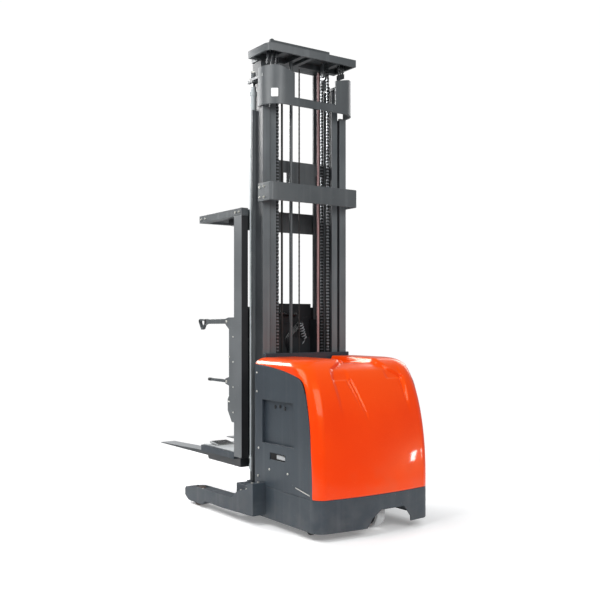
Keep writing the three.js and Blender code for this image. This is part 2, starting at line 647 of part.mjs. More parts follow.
function buildCabFrame(group) {
  for (const [name, side] of SIDES) {
    const post = prism('z', [
      [side * 400, POST_BACK], [side * 460, POST_BACK], [side * 460, 1250], [side * 400, 1250],
      [side * 400, 1244], [side * 454, 1244], [side * 454, 1136], [side * 400, 1136],
    ], [430, GUARD_BOTTOM - GAP]);
    const panel = prism('x', [
      [1245, 700], [1285, 700], [1350, 790], [1350, 880], [1330, 905], [1330, 1440],
      [1386, 1478], [1386, 1526],
      [1340, 1536], [1245, 1536],
    ], onSide(side, 448, 460));
    const lugOutline = [[1320, 985], [1386, 1000], [1386, 1044], [1320, 1060]];
    const lowerLug = prism('x', lugOutline, onSide(side, 448, 460));
    const pins = [LOWER_GATE_Z, UPPER_GATE_Z].map(
      (z) => rod('x', [GATE_PIVOT_Y, z], 7, onSide(side, 420, 455), 12));
    add(group, `cab_post_${name}`, union(post, panel, lowerLug, ...pins), 'mast');
  }

  const rails = SIDES.map(([, side]) => block(
    onSide(side, 400, CAB_HALF_WIDTH), [POST_BACK, GUARD_FRONT], [GUARD_BOTTOM, GUARD_TOP]));
  const rearRail = block([-CAB_HALF_WIDTH, CAB_HALF_WIDTH], [CAB_BACK, 1260], [GUARD_BOTTOM, GUARD_TOP]);
  const frontRail = block(
    [-CAB_HALF_WIDTH, CAB_HALF_WIDTH], [GUARD_FRONT - 50, GUARD_FRONT], [GUARD_BOTTOM, GUARD_TOP]);
  const rearBeam = block([-399, 399], [CAB_BACK, 1216], [2230, GUARD_BOTTOM + 5]);
  const slats = [];
  for (let y = 1300; y < 1760; y += 66) {
    slats.push(block([-405, 405], [y, y + 26], [GUARD_BOTTOM + 12, GUARD_TOP - 6]));
  }
  add(group, 'overhead_guard', union(...rails, rearRail, frontRail, rearBeam, ...slats), 'mast');

  const lampBody = block([-399, -220], [1262, 1440], [GUARD_BOTTOM - 46, GUARD_BOTTOM - GAP]);
  const lampLens = block([-390, -229], [1275, 1427], [GUARD_BOTTOM - 52, GUARD_BOTTOM - 40]);
  add(group, 'guard_lamp', union(lampBody, lampLens), 'black');
}

function buildGates(group) {
  for (const [name, side] of SIDES) {
    const upperSpan = onSide(side, GATE_X - 13, GATE_X + 13);
    const bar = prism('x', [
      [1352, 1484], [1740, 1482], [1775, 1470], [1798, 1438], [1822, 1432], [1838, 1448],
      [1868, 1492], [1868, 1516], [1852, 1524], [1740, 1520], [1366, 1524], [1352, 1518],
    ], upperSpan);
    const loop = prism('x', [
      [1764, 1497], [1806, 1450], [1820, 1449], [1855, 1498], [1848, 1508], [1776, 1508],
    ], onSide(side, GATE_X - 20, GATE_X + 20));
    const pinRoom = rod('x', [GATE_PIVOT_Y, UPPER_GATE_Z], 7.6, onSide(side, 410, 460), 16);
    add(group, `gate_upper_${name}`, cut(bar, loop, pinRoom), 'mast');

    const lowerSpan = onSide(side, GATE_X - 10, GATE_X + 10);
    const rail = prism('x', [
      [1354, 1008], [1700, 1010], [1708, 1020], [1700, 1030], [1354, 1032],
    ], lowerSpan);
    const lowerPinRoom = rod('x', [GATE_PIVOT_Y, LOWER_GATE_Z], 7.6, onSide(side, 410, 460), 16);
    add(group, `gate_lower_${name}`, cut(rail, lowerPinRoom), 'mast');
  }
}

const CONSOLE = { half: 270, back: 1226, front: 1400, bottom: 1060, top: 1650 };
const PANEL_HEAD = [1330, 1370];
const PANEL_FOOT = [CONSOLE.front, 1290];
const STOP_TRAVEL = 8;

// A group whose local z = 0 plane is the console's sloping face, centred at x along it.
function onPanel(group, x) {
  const [headY, headZ] = PANEL_HEAD;
  const [footY, footZ] = PANEL_FOOT;
  const place = new THREE.Group();
  place.position.set(x, (headY + footY) / 2, (headZ + footZ) / 2);
  place.rotation.x = -Math.atan2(headZ - footZ, footY - headY);
  group.add(place);
  return place;
}

// A round hole in the console's sloping face.
function panelHole(place, radius, depth) {
  place.updateMatrix();
  const geometry = new THREE.CylinderGeometry(radius, radius, depth + 20, 20);
  geometry.rotateX(Math.PI / 2);
  geometry.translate(0, 0, 10 - depth / 2);
  geometry.applyMatrix4(place.matrix);
  return solidFrom(geometry);
}

function buildControls(group) {
  const profile = [
    [CONSOLE.back, CONSOLE.bottom + 120], [1300, CONSOLE.bottom], [1370, 1200], [CONSOLE.front, 1250],
    PANEL_FOOT, PANEL_HEAD, [1290, CONSOLE.top], [CONSOLE.back, CONSOLE.top],
  ];
  const wheelPlace = onPanel(group, -150);
  const leverPlace = onPanel(group, 150);
  const buttonPlace = onPanel(group, 20);

  const housing = prism('x', profile, [-CONSOLE.half, CONSOLE.half]);
  const backPlate = block([-396, 396], [CONSOLE.back - 10, CONSOLE.back + 2], [1180, 1620]);
  const holes = [panelHole(leverPlace, 16, 14), panelHole(buttonPlace, 11, 20)];
  add(group, 'console', cut(union(housing, backPlate), ...holes), 'black');

  add(wheelPlace, 'steering_wheel', steeringWheel(), 'rubber');
  add(leverPlace, 'control_lever', controlLever(), 'rubber');
  add(buttonPlace, 'stop_button', stopButton(), 'red');
}

function steeringWheel() {
  const rim = new THREE.TorusGeometry(78, 9, 8, 24);
  rim.translate(0, 0, 48);
  const hub = rod('z', [0, 0], 20, [GAP, 52], 16);
  const spokes = [0, 1, 2].map((turn) => {
    const spoke = new THREE.BoxGeometry(80, 14, 8);
    spoke.translate(40, 0, 46);
    spoke.rotateZ((turn * 2 * Math.PI) / 3);
    return solidFrom(spoke);
  });
  return union(solidFrom(rim), hub, ...spokes);
}

function controlLever() {
  const stem = rod('z', [0, 0], 9, [-4, 70], 12);
  const boot = rod('z', [0, 0], 22, [8.5, 24], 16);
  const grip = rod('z', [0, 0], 17, [62, 130], 14);
  return union(stem, boot, grip);
}

function stopButton() {
  const stem = rod('z', [0, 0], 10, [-6, STOP_TRAVEL + 4], 14);
  const cap = rod('z', [0, 0], 20, [STOP_TRAVEL + 2, STOP_TRAVEL + 15], 20);
  return union(stem, cap);
}

// ---------------------------------------------------------------- assembly

const truck = new THREE.Group();
const chassis = new THREE.Group();
const mast = new THREE.Group();
const cab = new THREE.Group();

buildBody(chassis);
buildBaseFrame(chassis);
buildLegs(chassis);
buildDrive(chassis);
buildPowerPack(chassis);
buildOuterMast(mast);
buildMiddleMast(mast);
buildLines(mast);
buildInnerMast(mast);
buildCarriage(cab);
buildPlatform(cab);
buildCabFrame(cab);
buildGates(cab);
buildControls(cab);

truck.add(chassis, mast, cab);
truck.position.y = -TRUCK_LENGTH / 2;

export default truck;
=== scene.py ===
# %% [markdown]
# # A high-level order picker, dressed around its own frame
#
# The truck's frame is already built and packed: every part has a name, a body that it moves with, and a
# place in metres. This lesson keeps that frame fixed and gives it what a frame lacks: paint, rubber, worn
# steel, chain links, bolts and a moulded hood. +Y points towards the forks and +Z is up.

# %% Load the frame
import json
import math
import bmesh
import bpy
import numpy as np
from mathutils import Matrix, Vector


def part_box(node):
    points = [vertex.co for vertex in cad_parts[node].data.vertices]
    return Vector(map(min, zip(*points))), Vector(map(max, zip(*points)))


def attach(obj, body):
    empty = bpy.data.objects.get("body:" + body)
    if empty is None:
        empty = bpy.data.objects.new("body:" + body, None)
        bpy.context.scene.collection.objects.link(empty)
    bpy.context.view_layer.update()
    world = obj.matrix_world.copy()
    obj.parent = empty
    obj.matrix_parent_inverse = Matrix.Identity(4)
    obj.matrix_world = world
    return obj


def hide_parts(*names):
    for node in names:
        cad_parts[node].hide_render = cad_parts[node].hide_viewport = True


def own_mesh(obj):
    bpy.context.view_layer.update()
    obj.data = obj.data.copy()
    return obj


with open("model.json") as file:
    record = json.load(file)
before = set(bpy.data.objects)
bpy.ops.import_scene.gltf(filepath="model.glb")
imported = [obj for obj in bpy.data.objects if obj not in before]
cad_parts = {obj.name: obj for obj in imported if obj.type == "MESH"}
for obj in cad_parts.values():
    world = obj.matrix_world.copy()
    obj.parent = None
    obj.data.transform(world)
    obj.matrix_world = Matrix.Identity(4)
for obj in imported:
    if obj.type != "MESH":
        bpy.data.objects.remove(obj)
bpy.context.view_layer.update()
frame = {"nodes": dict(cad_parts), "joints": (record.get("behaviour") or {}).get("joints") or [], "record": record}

NODES = frame["nodes"]
SIDES = (("left", -1), ("right", 1))
SQUARE = ((-1, -1), (1, -1), (1, 1), (-1, 1))
CHAIN_PITCH = 0.0254
SLOT_OF = {row["node"]: row["material_slot"] for row in frame["record"]["subparts"]}

# %% [markdown]
# The camera stands low behind the left rear corner and looks level along the truck. A level camera keeps
# the mast's edges upright, and a small upward shift brings the top of the mast into the frame.

# %% Camera
camera_data = bpy.data.cameras.new("view_from_rear_left")
camera = bpy.data.objects.new("view_from_rear_left", camera_data)
bpy.context.scene.collection.objects.link(camera)
camera.location = (-3.873, -5.979, 1.498)
camera.rotation_euler = (math.radians(90), 0, -math.atan2(0.5664, 0.8241))
camera_data.sensor_width = 36
camera_data.lens = 51.3
camera_data.shift_y = 0.0367
camera_data.clip_end = 200
bpy.context.scene.camera = camera
print("camera at", tuple(camera.location))

# %% [markdown]
# Light: soft panels high on the left, behind, on the right and beyond the forks, and a small low one that
# leaves the single bright glint on the hood's right corner. The camera sees a white sky, which lights the
# truck with only a third of that. The floor fades out with distance.

# %% Lights, sky and floor
def panel_light(name, place, aim, size, power):
    data = bpy.data.lights.new(name, "AREA")
    data.shape = "RECTANGLE"
    data.size, data.size_y = size
    data.energy = power
    lamp = bpy.data.objects.new(name, data)
    bpy.context.scene.collection.objects.link(lamp)
    lamp.location = place
    lamp.rotation_euler = (Vector(aim) - Vector(place)).to_track_quat("-Z", "Y").to_euler()
    return lamp


panel_light("soft_panel_left", (-4.6, -1.2, 5.2), (0, -0.6, 1.2), (4.0, 3.0), 230)
panel_light("soft_panel_behind", (-1.0, -6.5, 4.2), (0, 0, 1.3), (5.0, 2.5), 190)
panel_light("soft_panel_right", (5.5, 1.5, 4.0), (0, 0, 1.2), (3.0, 3.0), 90)
panel_light("soft_panel_far", (-1.5, 4.6, 4.5), (-0.4, -0.6, 1.1), (3.0, 1.2), 300)
panel_light("low_glint", (3.55, -3.9, 0.32), (0.36, -1.31, 0.52), (0.14, 0.26), 9)

# The sky is seen as white, and lights the truck with a third of that, so that the paint keeps its depth.
SKY_FILL, SKY_SEEN = 0.34, 1.02
world = bpy.data.worlds.new("plain_sky")
world.use_nodes = True
sky = world.node_tree
fill_light = sky.nodes["Background"]
fill_light.inputs["Color"].default_value = (0.96, 0.98, 1.0, 1)
fill_light.inputs["Strength"].default_value = SKY_FILL
white_backdrop = sky.nodes.new("ShaderNodeBackground")
white_backdrop.inputs["Color"].default_value = (1, 1, 1, 1)
white_backdrop.inputs["Strength"].default_value = SKY_SEEN
kind_of_ray = sky.nodes.new("ShaderNodeLightPath")
choose = sky.nodes.new("ShaderNodeMixShader")
sky.links.new(kind_of_ray.outputs["Is Camera Ray"], choose.inputs["Fac"])
sky.links.new(fill_light.outputs[0], choose.inputs[1])
sky.links.new(white_backdrop.outputs[0], choose.inputs[2])
sky.links.new(choose.outputs[0], sky.nodes["World Output"].inputs["Surface"])
bpy.context.scene.world = world
bpy.context.scene.view_settings.view_transform = "Standard"

FLOOR_REACH = 7
floor_mesh = bpy.data.meshes.new("studio_floor")
floor_mesh.from_pydata(
    [(x * FLOOR_REACH, y * FLOOR_REACH, -0.0005) for x, y in SQUARE], [], [(0, 1, 2, 3)])
studio_floor = bpy.data.objects.new("studio_floor", floor_mesh)
bpy.context.scene.collection.objects.link(studio_floor)
print("stage:", studio_floor.name)

# %% [markdown]
# ## Finishes
#
# Shader maths reads best as plain sums. `Value` wraps one output socket so that `0.2 + 0.1 * grain` adds the
# Math nodes by itself, and `Finish` owns one material and makes every other node through one method.

# %% A socket that can stand in a sum
class Value:
    def __init__(self, finish, socket):
        self.finish = finish
        self.socket = socket

    def sum(self, operation, first, second):
        return self.finish.node("ShaderNodeMath", {"operation": operation}, {0: first, 1: second})

    def __add__(self, other):
        return self.sum("ADD", self, other)

    def __radd__(self, other):
        return self.sum("ADD", other, self)

    def __sub__(self, other):
        return self.sum("SUBTRACT", self, other)

    def __rsub__(self, other):
        return self.sum("SUBTRACT", other, self)

    def __mul__(self, other):
        return self.sum("MULTIPLY", self, other)

    def __rmul__(self, other):
        return self.sum("MULTIPLY", other, self)


class Finish:
    """One material: a Principled shader, its constants, and nodes made by name."""

    def __init__(self, name, **constants):
        self.material = bpy.data.materials.new(name)
        self.material.use_nodes = True
        self.tree = self.material.node_tree
        self.tree.nodes.clear()
        output = self.tree.nodes.new("ShaderNodeOutputMaterial")
        self.shader = self.tree.nodes.new("ShaderNodeBsdfPrincipled")
        self.tree.links.new(self.shader.outputs[0], output.inputs[0])
        for socket, value in constants.items():
            self.shader.inputs[socket.replace("_", " ")].default_value = value
        self.place = self.node("ShaderNodeTexCoord", {}, {}, "Object")

    def plug(self, socket, value):
        if isinstance(value, Value):
            self.tree.links.new(value.socket, socket)
        elif isinstance(value, tuple) and len(value) == 3 and socket.type == "RGBA":
            socket.default_value = (*value, 1)
        else:
            socket.default_value = value

    def node(self, kind, settings, sockets, output=0):
        made = self.tree.nodes.new(kind)
        for setting, value in settings.items():
            setattr(made, setting, value)
        for socket, value in sockets.items():
            self.plug(made.inputs[socket], value)
        return Value(self, made.outputs[output])

    def noise(self, scale, detail=3, stretch=(1, 1, 1)):
        stretched = self.node("ShaderNodeVectorMath", {"operation": "MULTIPLY"},
                              {0: self.place, 1: stretch})
        return self.node("ShaderNodeTexNoise", {}, {"Vector": stretched, "Scale": scale, "Detail": detail})

    def sine(self, value):
        return self.node("ShaderNodeMath", {"operation": "SINE"}, {0: value})

    def patches(self, low, high, *noise):
        return self.step(self.noise(*noise), low, high)

    def step(self, value, low, high):
        return self.node("ShaderNodeMapRange", {"interpolation_type": "SMOOTHSTEP"},
                         {"Value": value, "From Min": low, "From Max": high})

    def axis(self, letter):
        return self.node("ShaderNodeSeparateXYZ", {}, {0: self.place}, letter)

    def facing(self, letter):
        normal = self.node("ShaderNodeTexCoord", {}, {}, "Normal")
        return self.node("ShaderNodeSeparateXYZ", {}, {0: normal}, letter)

    def mix(self, first, second, share):
        return self.node("ShaderNodeMix", {"data_type": "RGBA"}, {0: share, 6: first, 7: second}, 2)

    def bump(self, height, strength, distance=0.001):
        normal = self.node("ShaderNodeBump", {},
                           {"Height": height, "Strength": strength, "Distance": distance}, "Normal")
        self.plug(self.shader.inputs["Normal"], normal)

    def wear(self, colour, roughness, metallic=None):
        self.plug(self.shader.inputs["Base Color"], colour)
        self.plug(self.shader.inputs["Roughness"], roughness)
        if metallic is not None:
            self.plug(self.shader.inputs["Metallic"], metallic)
        return self.material


FINISHES = {}
print("shader helpers ready")

# %% [markdown]
# The hood is a gloss moulding. Its colour drifts a little over a metre, the surface has the faint ripple of
# orange peel, and the lower edge has picked up grey dust and rubbed marks.

# %% Hood orange
def hood_finish():
    f = Finish("hood_orange", Coat_Weight=0.30, Coat_Roughness=0.06, IOR=1.45,
               Specular_Tint=(1.0, 0.55, 0.08, 1))
    height = f.axis("Z")
    drift = f.patches(0.3, 0.7, 1.4, 2)
    dust = f.step(height, 0.60, 0.28) * f.patches(0.42, 0.72, 7, 6)
    rubbed = f.patches(0.66, 0.72, 30, 4, (1, 1, 6))
    colour = f.mix((0.86, 0.040, 0.0006), (0.92, 0.054, 0.001), drift)
    # Faces that point up are painted a lighter, yellower orange: a painted highlight.
    colour = f.mix(colour, (0.96, 0.088, 0.003), 0.85 * f.step(f.facing("Z"), 0.25, 0.80))
    colour = f.mix(colour, (0.50, 0.17, 0.09), 0.12 * dust)
    colour = f.mix(colour, (0.93, 0.14, 0.03), 0.25 * rubbed)
    f.bump(0.6 * f.noise(300, 2) + 0.8 * f.noise(28, 2), 0.05)
    return f.wear(colour, 0.26 + 0.10 * f.noise(5, 3) + 0.22 * dust + 0.10 * rubbed)


FINISHES["hood"] = hood_finish()
print("made", FINISHES["hood"].name)

# %% [markdown]
# Painted steel comes in four shades here: grey-blue covers, grey mast, pale cylinders and a black frame. One
# function serves them all. Paint chips to a paler primer in small sharp spots, dust settles near the ground,
# and long upright streaks show where rollers and hands have rubbed.

# %% Painted steel
def painted_finish(name, dark, light, streaks, grain, gloss, dusty=0.10):
    f = Finish(name, IOR=1.5, Coat_Weight=0.12, Coat_Roughness=0.3)
    height = f.axis("Z")
    drift = f.patches(0.32, 0.68, 2.2, 4)
    streak = f.patches(0.5, 0.72, 16, 4, (1, 1, 0.04))
    chip = f.patches(0.735, 0.75, 85, 3)
    dust = f.step(height, 0.42, 0.02) * f.patches(0.35, 0.7, 11, 6)
    primer = tuple(min(1, 0.12 + 1.5 * channel) for channel in light)
    colour = f.mix(dark, light, drift)
    colour = f.mix(colour, primer, streaks * streak)
    colour = f.mix(colour, primer, 0.55 * chip)
    colour = f.mix(colour, (0.30, 0.29, 0.27), dusty * dust)
    f.bump(f.noise(grain, 3) + 0.5 * f.noise(grain / 7, 2) - 0.6 * chip, 0.10)
    return f.wear(colour, gloss + 0.14 * f.noise(9, 5) + 0.12 * dust - 0.10 * streak)


FINISHES["body"] = painted_finish("cover_grey_blue", (0.020, 0.029, 0.040), (0.028, 0.040, 0.052), 0.04,
                                  900, 0.46)
FINISHES["mast"] = painted_finish("mast_grey", (0.058, 0.066, 0.071), (0.085, 0.094, 0.099), 0.16, 600,
                                  0.36)
FINISHES["cylinder"] = painted_finish("cylinder_grey", (0.40, 0.44, 0.45), (0.50, 0.54, 0.55), 0.12, 500,
                                      0.26)
FINISHES["frame_black"] = painted_finish("frame_black", (0.012, 0.014, 0.017), (0.022, 0.026, 0.031), 0.05,
                                         500, 0.45)
print("painted steel in four shades")

# %% [markdown]
# The cab posts are grey outside, and their rear faces and insides are painted black, a painted shade for the
# faces that stand in shadow. Instead of a second part, the paint looks at which way its own surface faces and
# turns black where it faces the truck's rear. The mast channels are grey where they face the rear and painted
# near black elsewhere, a painted shade for their webs and recesses, and the forks are bare on top.

# %% Post and channel paint with painted shade, and fork paint
def post_finish():
    f = Finish("post_with_painted_rear_shade", IOR=1.5, Coat_Weight=0.1, Coat_Roughness=0.3)
    # Faces that point to the truck's rear are painted near black: a painted shade.
    rear_faces_painted_shade = f.step(0 - f.facing("Y"), 0.5, 0.8)
    drift = f.patches(0.3, 0.7, 2.5, 4)
    chip = f.patches(0.73, 0.745, 80, 3)
    grey = f.mix((0.095, 0.104, 0.110), (0.130, 0.140, 0.147), drift)
    grey = f.mix(grey, (0.42, 0.43, 0.44), 0.6 * chip)
    colour = f.mix(grey, (0.014, 0.015, 0.017), rear_faces_painted_shade)
    f.bump(f.noise(650, 3) - 0.5 * chip, 0.08)
    return f.wear(colour, 0.36 + 0.14 * f.noise(8, 4) + 0.08 * rear_faces_painted_shade)


def channel_finish():
    f = Finish("channel_with_painted_shade", IOR=1.5, Coat_Weight=0.1, Coat_Roughness=0.3)
    # Faces that point to the truck's rear keep the grey paint and its roller streaks.
    rear_facing = f.step(0 - f.facing("Y"), 0.4, 0.8)
    streak = f.patches(0.5, 0.72, 16, 4, (1, 1, 0.04))
    # Every other face is painted near black: a painted shade for the channel webs and recesses.
    painted_shade_sides = f.mix((0.016, 0.019, 0.022), (0.030, 0.034, 0.038), f.patches(0.3, 0.7, 3, 4))
    painted = f.mix((0.085, 0.097, 0.104), (0.125, 0.138, 0.145), f.patches(0.3, 0.7, 2.2, 4))
    colour = f.mix(painted_shade_sides, painted, rear_facing)
    colour = f.mix(colour, (0.24, 0.26, 0.27), 0.22 * streak * rear_facing)
    f.bump(f.noise(600, 3) + 0.5 * f.noise(90, 2), 0.08)
    return f.wear(colour, 0.42 + 0.14 * f.noise(9, 5) - 0.10 * streak)


def fork_finish():
    f = Finish("fork_rubbed", IOR=1.5)
    upper = f.step(f.facing("Z"), 0.6, 0.9)
    scrape = f.patches(0.42, 0.66, 22, 5, (1, 0.06, 1))
    bare = f.mix((0.26, 0.27, 0.28), (0.46, 0.47, 0.48), scrape)
    colour = f.mix((0.030, 0.034, 0.038), bare, upper)
    f.bump(f.noise(500, 3) + 0.5 * scrape * upper, 0.08)
    return f.wear(colour, 0.44 - 0.12 * scrape * upper, 0.7 * upper * scrape)


POST_PAINT = post_finish()
CHANNEL_PAINT = channel_finish()
FORK_PAINT = fork_finish()
print("made", POST_PAINT.name, CHANNEL_PAINT.name, FORK_PAINT.name)

# %% [markdown]
# Black mouldings have a fine leather grain that scatters light, so they never look like paint.

# %% Moulded black, rubber and treads
def moulded_finish(name, dark, light, grain, rough, bump=0.22, marks=0.3):
    f = Finish(name, IOR=1.46)
    drift = f.patches(0.3, 0.7, 3.5, 4)
    scuff = f.patches(0.62, 0.72, 40, 5, (1, 3, 1))
    colour = f.mix(dark, light, drift)
    pale = tuple(min(1, 0.05 + 2.0 * channel) for channel in light)
    colour = f.mix(colour, pale, marks * scuff)
    cells = f.node("ShaderNodeTexVoronoi", {"feature": "F1"}, {"Vector": f.place, "Scale": grain},
                   "Distance")
    f.bump(cells + 0.4 * f.noise(grain * 0.5, 3), bump)
    return f.wear(colour, rough + 0.16 * f.noise(12, 4) - 0.08 * scuff)


FINISHES["case_black"] = moulded_finish("moulded_black", (0.006, 0.007, 0.009), (0.012, 0.014, 0.017), 700,
                                        0.50)
FINISHES["rubber"] = moulded_finish("black_rubber", (0.011, 0.011, 0.011), (0.023, 0.022, 0.022), 420, 0.62)
FINISHES["tread"] = moulded_finish("pale_tread", (0.40, 0.41, 0.42), (0.55, 0.56, 0.56), 240, 0.50, 0.12,
                                   0.10)
FINISHES["load_tread"] = moulded_finish("brown_tread", (0.040, 0.026, 0.020), (0.085, 0.058, 0.045), 260,
                                        0.46, 0.12)
FINISHES["hose"] = moulded_finish("rose_hose", (0.26, 0.150, 0.150), (0.36, 0.22, 0.215), 300, 0.45, 0.10)
SHINY_BLACK = moulded_finish("shiny_black_lead", (0.012, 0.013, 0.015), (0.030, 0.033, 0.037), 300, 0.16,
                             0.05)
GREY_LEAD = moulded_finish("grey_lead", (0.30, 0.32, 0.34), (0.45, 0.47, 0.49), 300, 0.30, 0.06)
print("moulded finishes made")

# %% [markdown]
# The floor mat and the foot pad are pale rubber with raised studs in rows. The studs are a bump: a sine
# across times a sine along, cut so that only the tops stand up.

# %% Studded mat
def mat_finish():
    f = Finish("studded_mat", IOR=1.45)
    pitch = 2 * math.pi / 0.024
    across = f.sine(f.axis("X") * pitch)
    along = f.sine(f.axis("Y") * pitch)
    stud = f.step(across * along, 0.35, 0.6)
    dirt = f.patches(0.4, 0.75, 6, 6) * (1 - stud)
    colour = f.mix((0.40, 0.42, 0.43), (0.56, 0.58, 0.58), f.patches(0.3, 0.7, 4, 4))
    colour = f.mix(colour, (0.19, 0.185, 0.175), 0.55 * dirt)
    f.bump(stud + 0.1 * f.noise(500, 2), 0.5, 0.002)
    return f.wear(colour, 0.58 + 0.14 * f.noise(20, 4) - 0.08 * stud)


FINISHES["mat"] = mat_finish()
# A near-white finish for the patch on the yoke: painted light where the bright backdrop shows through a hole.
PALE_BACKDROP_PATCH = moulded_finish("pale_backdrop_patch", (0.80, 0.81, 0.81), (0.90, 0.90, 0.90), 400, 0.35, 0.03, 0.05)
print("made", FINISHES["mat"].name)

# %% [markdown]
# Bare metal is brushed: noise stretched along one direction turns into fine lines. The chain is painted in
# bright and dark bands one link apart, a painted highlight and painted shade that draw its ribs, and oil
# darkens it in patches. Chrome stays nearly clean, and the controller's cast fins are dull aluminium.

# %% Bare metals
def metal_finish(name, dark, light, rough, stretch, bump=0.06, oil=0.0):
    f = Finish(name, IOR=1.8)
    lines = f.noise(60, 5, stretch)
    film = f.patches(0.4, 0.7, 14, 5)
    colour = f.mix(dark, light, f.step(lines, 0.3, 0.7))
    colour = f.mix(colour, (0.016, 0.016, 0.017), oil * film)
    f.bump(lines + 0.3 * f.noise(400, 2), bump)
    return f.wear(colour, rough + 0.16 * lines + 0.2 * film * (0.3 + oil), 1 - 0.6 * oil * film)


def chain_finish():
    f = Finish("oiled_chain", IOR=1.8)
    link = f.sine(f.axis("Z") * (2 * math.pi / CHAIN_PITCH))
    # Bright bands one pitch apart are a painted highlight on the links, and the dark bands between them a painted
    # shade.
    rubbed = f.step(link, -0.1, 0.5)
    film = f.patches(0.4, 0.7, 14, 5)
    colour = f.mix((0.018, 0.019, 0.021), (0.40, 0.42, 0.44), rubbed * (1 - 0.4 * film))
    f.bump(f.noise(160, 4) + 0.3 * f.noise(400, 2), 0.12)
    return f.wear(colour, 0.32 + 0.2 * film, 0.35 + 0.5 * rubbed)


FINISHES["steel"] = metal_finish("machined_steel", (0.42, 0.43, 0.44), (0.62, 0.63, 0.64), 0.22, (1, 1, 6),
                                 oil=0.15)
FINISHES["chrome"] = metal_finish("hard_chrome", (0.74, 0.75, 0.77), (0.86, 0.87, 0.88), 0.05, (6, 6, 0.5),
                                  0.02)
FINISHES["chain"] = chain_finish()
FINISHES["heat_sink"] = metal_finish("cast_aluminium", (0.42, 0.43, 0.44), (0.56, 0.57, 0.58), 0.38,
                                     (1, 1, 1), 0.16, 0.1)
ZINC = metal_finish("zinc_fixings", (0.50, 0.50, 0.47), (0.72, 0.71, 0.66), 0.24, (2, 2, 2), 0.08, 0.05)
print("bare metals made")

# %% [markdown]
# The last few: a red button that has been pressed a lot, a ribbed lamp lens, and the matt studio floor.

# %% Red button, lens and floor
def button_finish():
    f = Finish("button_red", Coat_Weight=0.3, Coat_Roughness=0.15)
    worn = f.patches(0.5, 0.75, 120, 4)
    colour = f.mix((0.52, 0.010, 0.008), (0.66, 0.05, 0.035), worn)
    f.bump(f.noise(900, 2), 0.06)
    return f.wear(colour, 0.26 + 0.2 * worn)


def lens_finish():
    f = Finish("ribbed_lens", IOR=1.49, Coat_Weight=0.4, Coat_Roughness=0.1)
    ribs = f.sine(f.axis("X") * (2 * math.pi / 0.008))
    colour = f.mix((0.55, 0.57, 0.58), (0.78, 0.79, 0.78), f.noise(20, 3))
    f.bump(ribs, 0.35)
    return f.wear(colour, 0.20 + 0.12 * f.noise(30, 3))


def floor_finish():
    f = Finish("pale_floor", Specular_IOR_Level=0.1)
    colour = f.mix((0.90, 0.90, 0.90), (0.94, 0.94, 0.94), f.noise(0.8, 3))
    glow = f.mix((0.20, 0.20, 0.20), (0.24, 0.24, 0.24), f.noise(1.2, 2))
    f.shader.inputs["Emission Strength"].default_value = 1.0
    f.plug(f.shader.inputs["Emission Color"], glow)
    reach = f.node("ShaderNodeVectorMath", {"operation": "LENGTH"}, {0: f.place}, "Value")
    f.plug(f.shader.inputs["Alpha"], f.step(reach, 4.2, 2.2))
    f.bump(f.noise(120, 3), 0.02)
    return f.wear(colour, 0.72 + 0.1 * f.noise(3, 3))


FINISHES["red"] = button_finish()
LENS = lens_finish()
floor_mesh.materials.append(floor_finish())
print(len(FINISHES), "finishes by slot")

# %% [markdown]
# ## Dressing the frame's own parts
#
# The channels, plates, beams and posts already have their true shape. What they lack is the small round on
# every edge that catches light. A stack of modifiers gives it: weld the split corners, dissolve the flat
# triangles, smooth what is round, then bevel what is sharp.

# %% Smooth-by-angle node group
SHARP = math.radians(32)


def smooth_group():
    group = bpy.data.node_groups.new("smooth_round_faces", "GeometryNodeTree")
    group.interface.new_socket("Geometry", in_out="INPUT", socket_type="NodeSocketGeometry")
    group.interface.new_socket("Geometry", in_out="OUTPUT", socket_type="NodeSocketGeometry")
    start = group.nodes.new("NodeGroupInput")
    end = group.nodes.new("NodeGroupOutput")
    faces = group.nodes.new("GeometryNodeSetShadeSmooth")
    edges = group.nodes.new("GeometryNodeSetShadeSmooth")
    edges.domain = "EDGE"
    edges.inputs["Shade Smooth"].default_value = False
    angle = group.nodes.new("GeometryNodeInputMeshEdgeAngle")
    limit = group.nodes.new("FunctionNodeCompare")
    limit.data_type = "FLOAT"
    limit.operation = "GREATER_THAN"
    limit.inputs[1].default_value = SHARP
    for outlet, inlet in (
        (start.outputs[0], faces.inputs[0]), (faces.outputs[0], edges.inputs[0]), (edges.outputs[0],
                                                                                   end.inputs[0]),
        (angle.outputs[0], limit.inputs[0]), (limit.outputs[0], edges.inputs["Selection"]),
    ):
        group.links.new(outlet, inlet)
    return group


SMOOTH = smooth_group()


def bevel_edges(piece, width, angle):
    bevel = piece.modifiers.new("edge_round", "BEVEL")
    bevel.width = width
    bevel.segments = 2
    bevel.limit_method = "ANGLE"
    bevel.angle_limit = angle
    bevel.harden_normals = True


def round_edges(piece, width):
    weld = piece.modifiers.new("weld", "WELD")
    weld.merge_threshold = 0.00002
    flat = piece.modifiers.new("join_flat_faces", "DECIMATE")
    flat.decimate_type = "DISSOLVE"
    flat.angle_limit = math.radians(0.5)
    smooth = piece.modifiers.new("smooth", "NODES")
    smooth.node_group = SMOOTH
    bevel_edges(piece, width, SHARP)


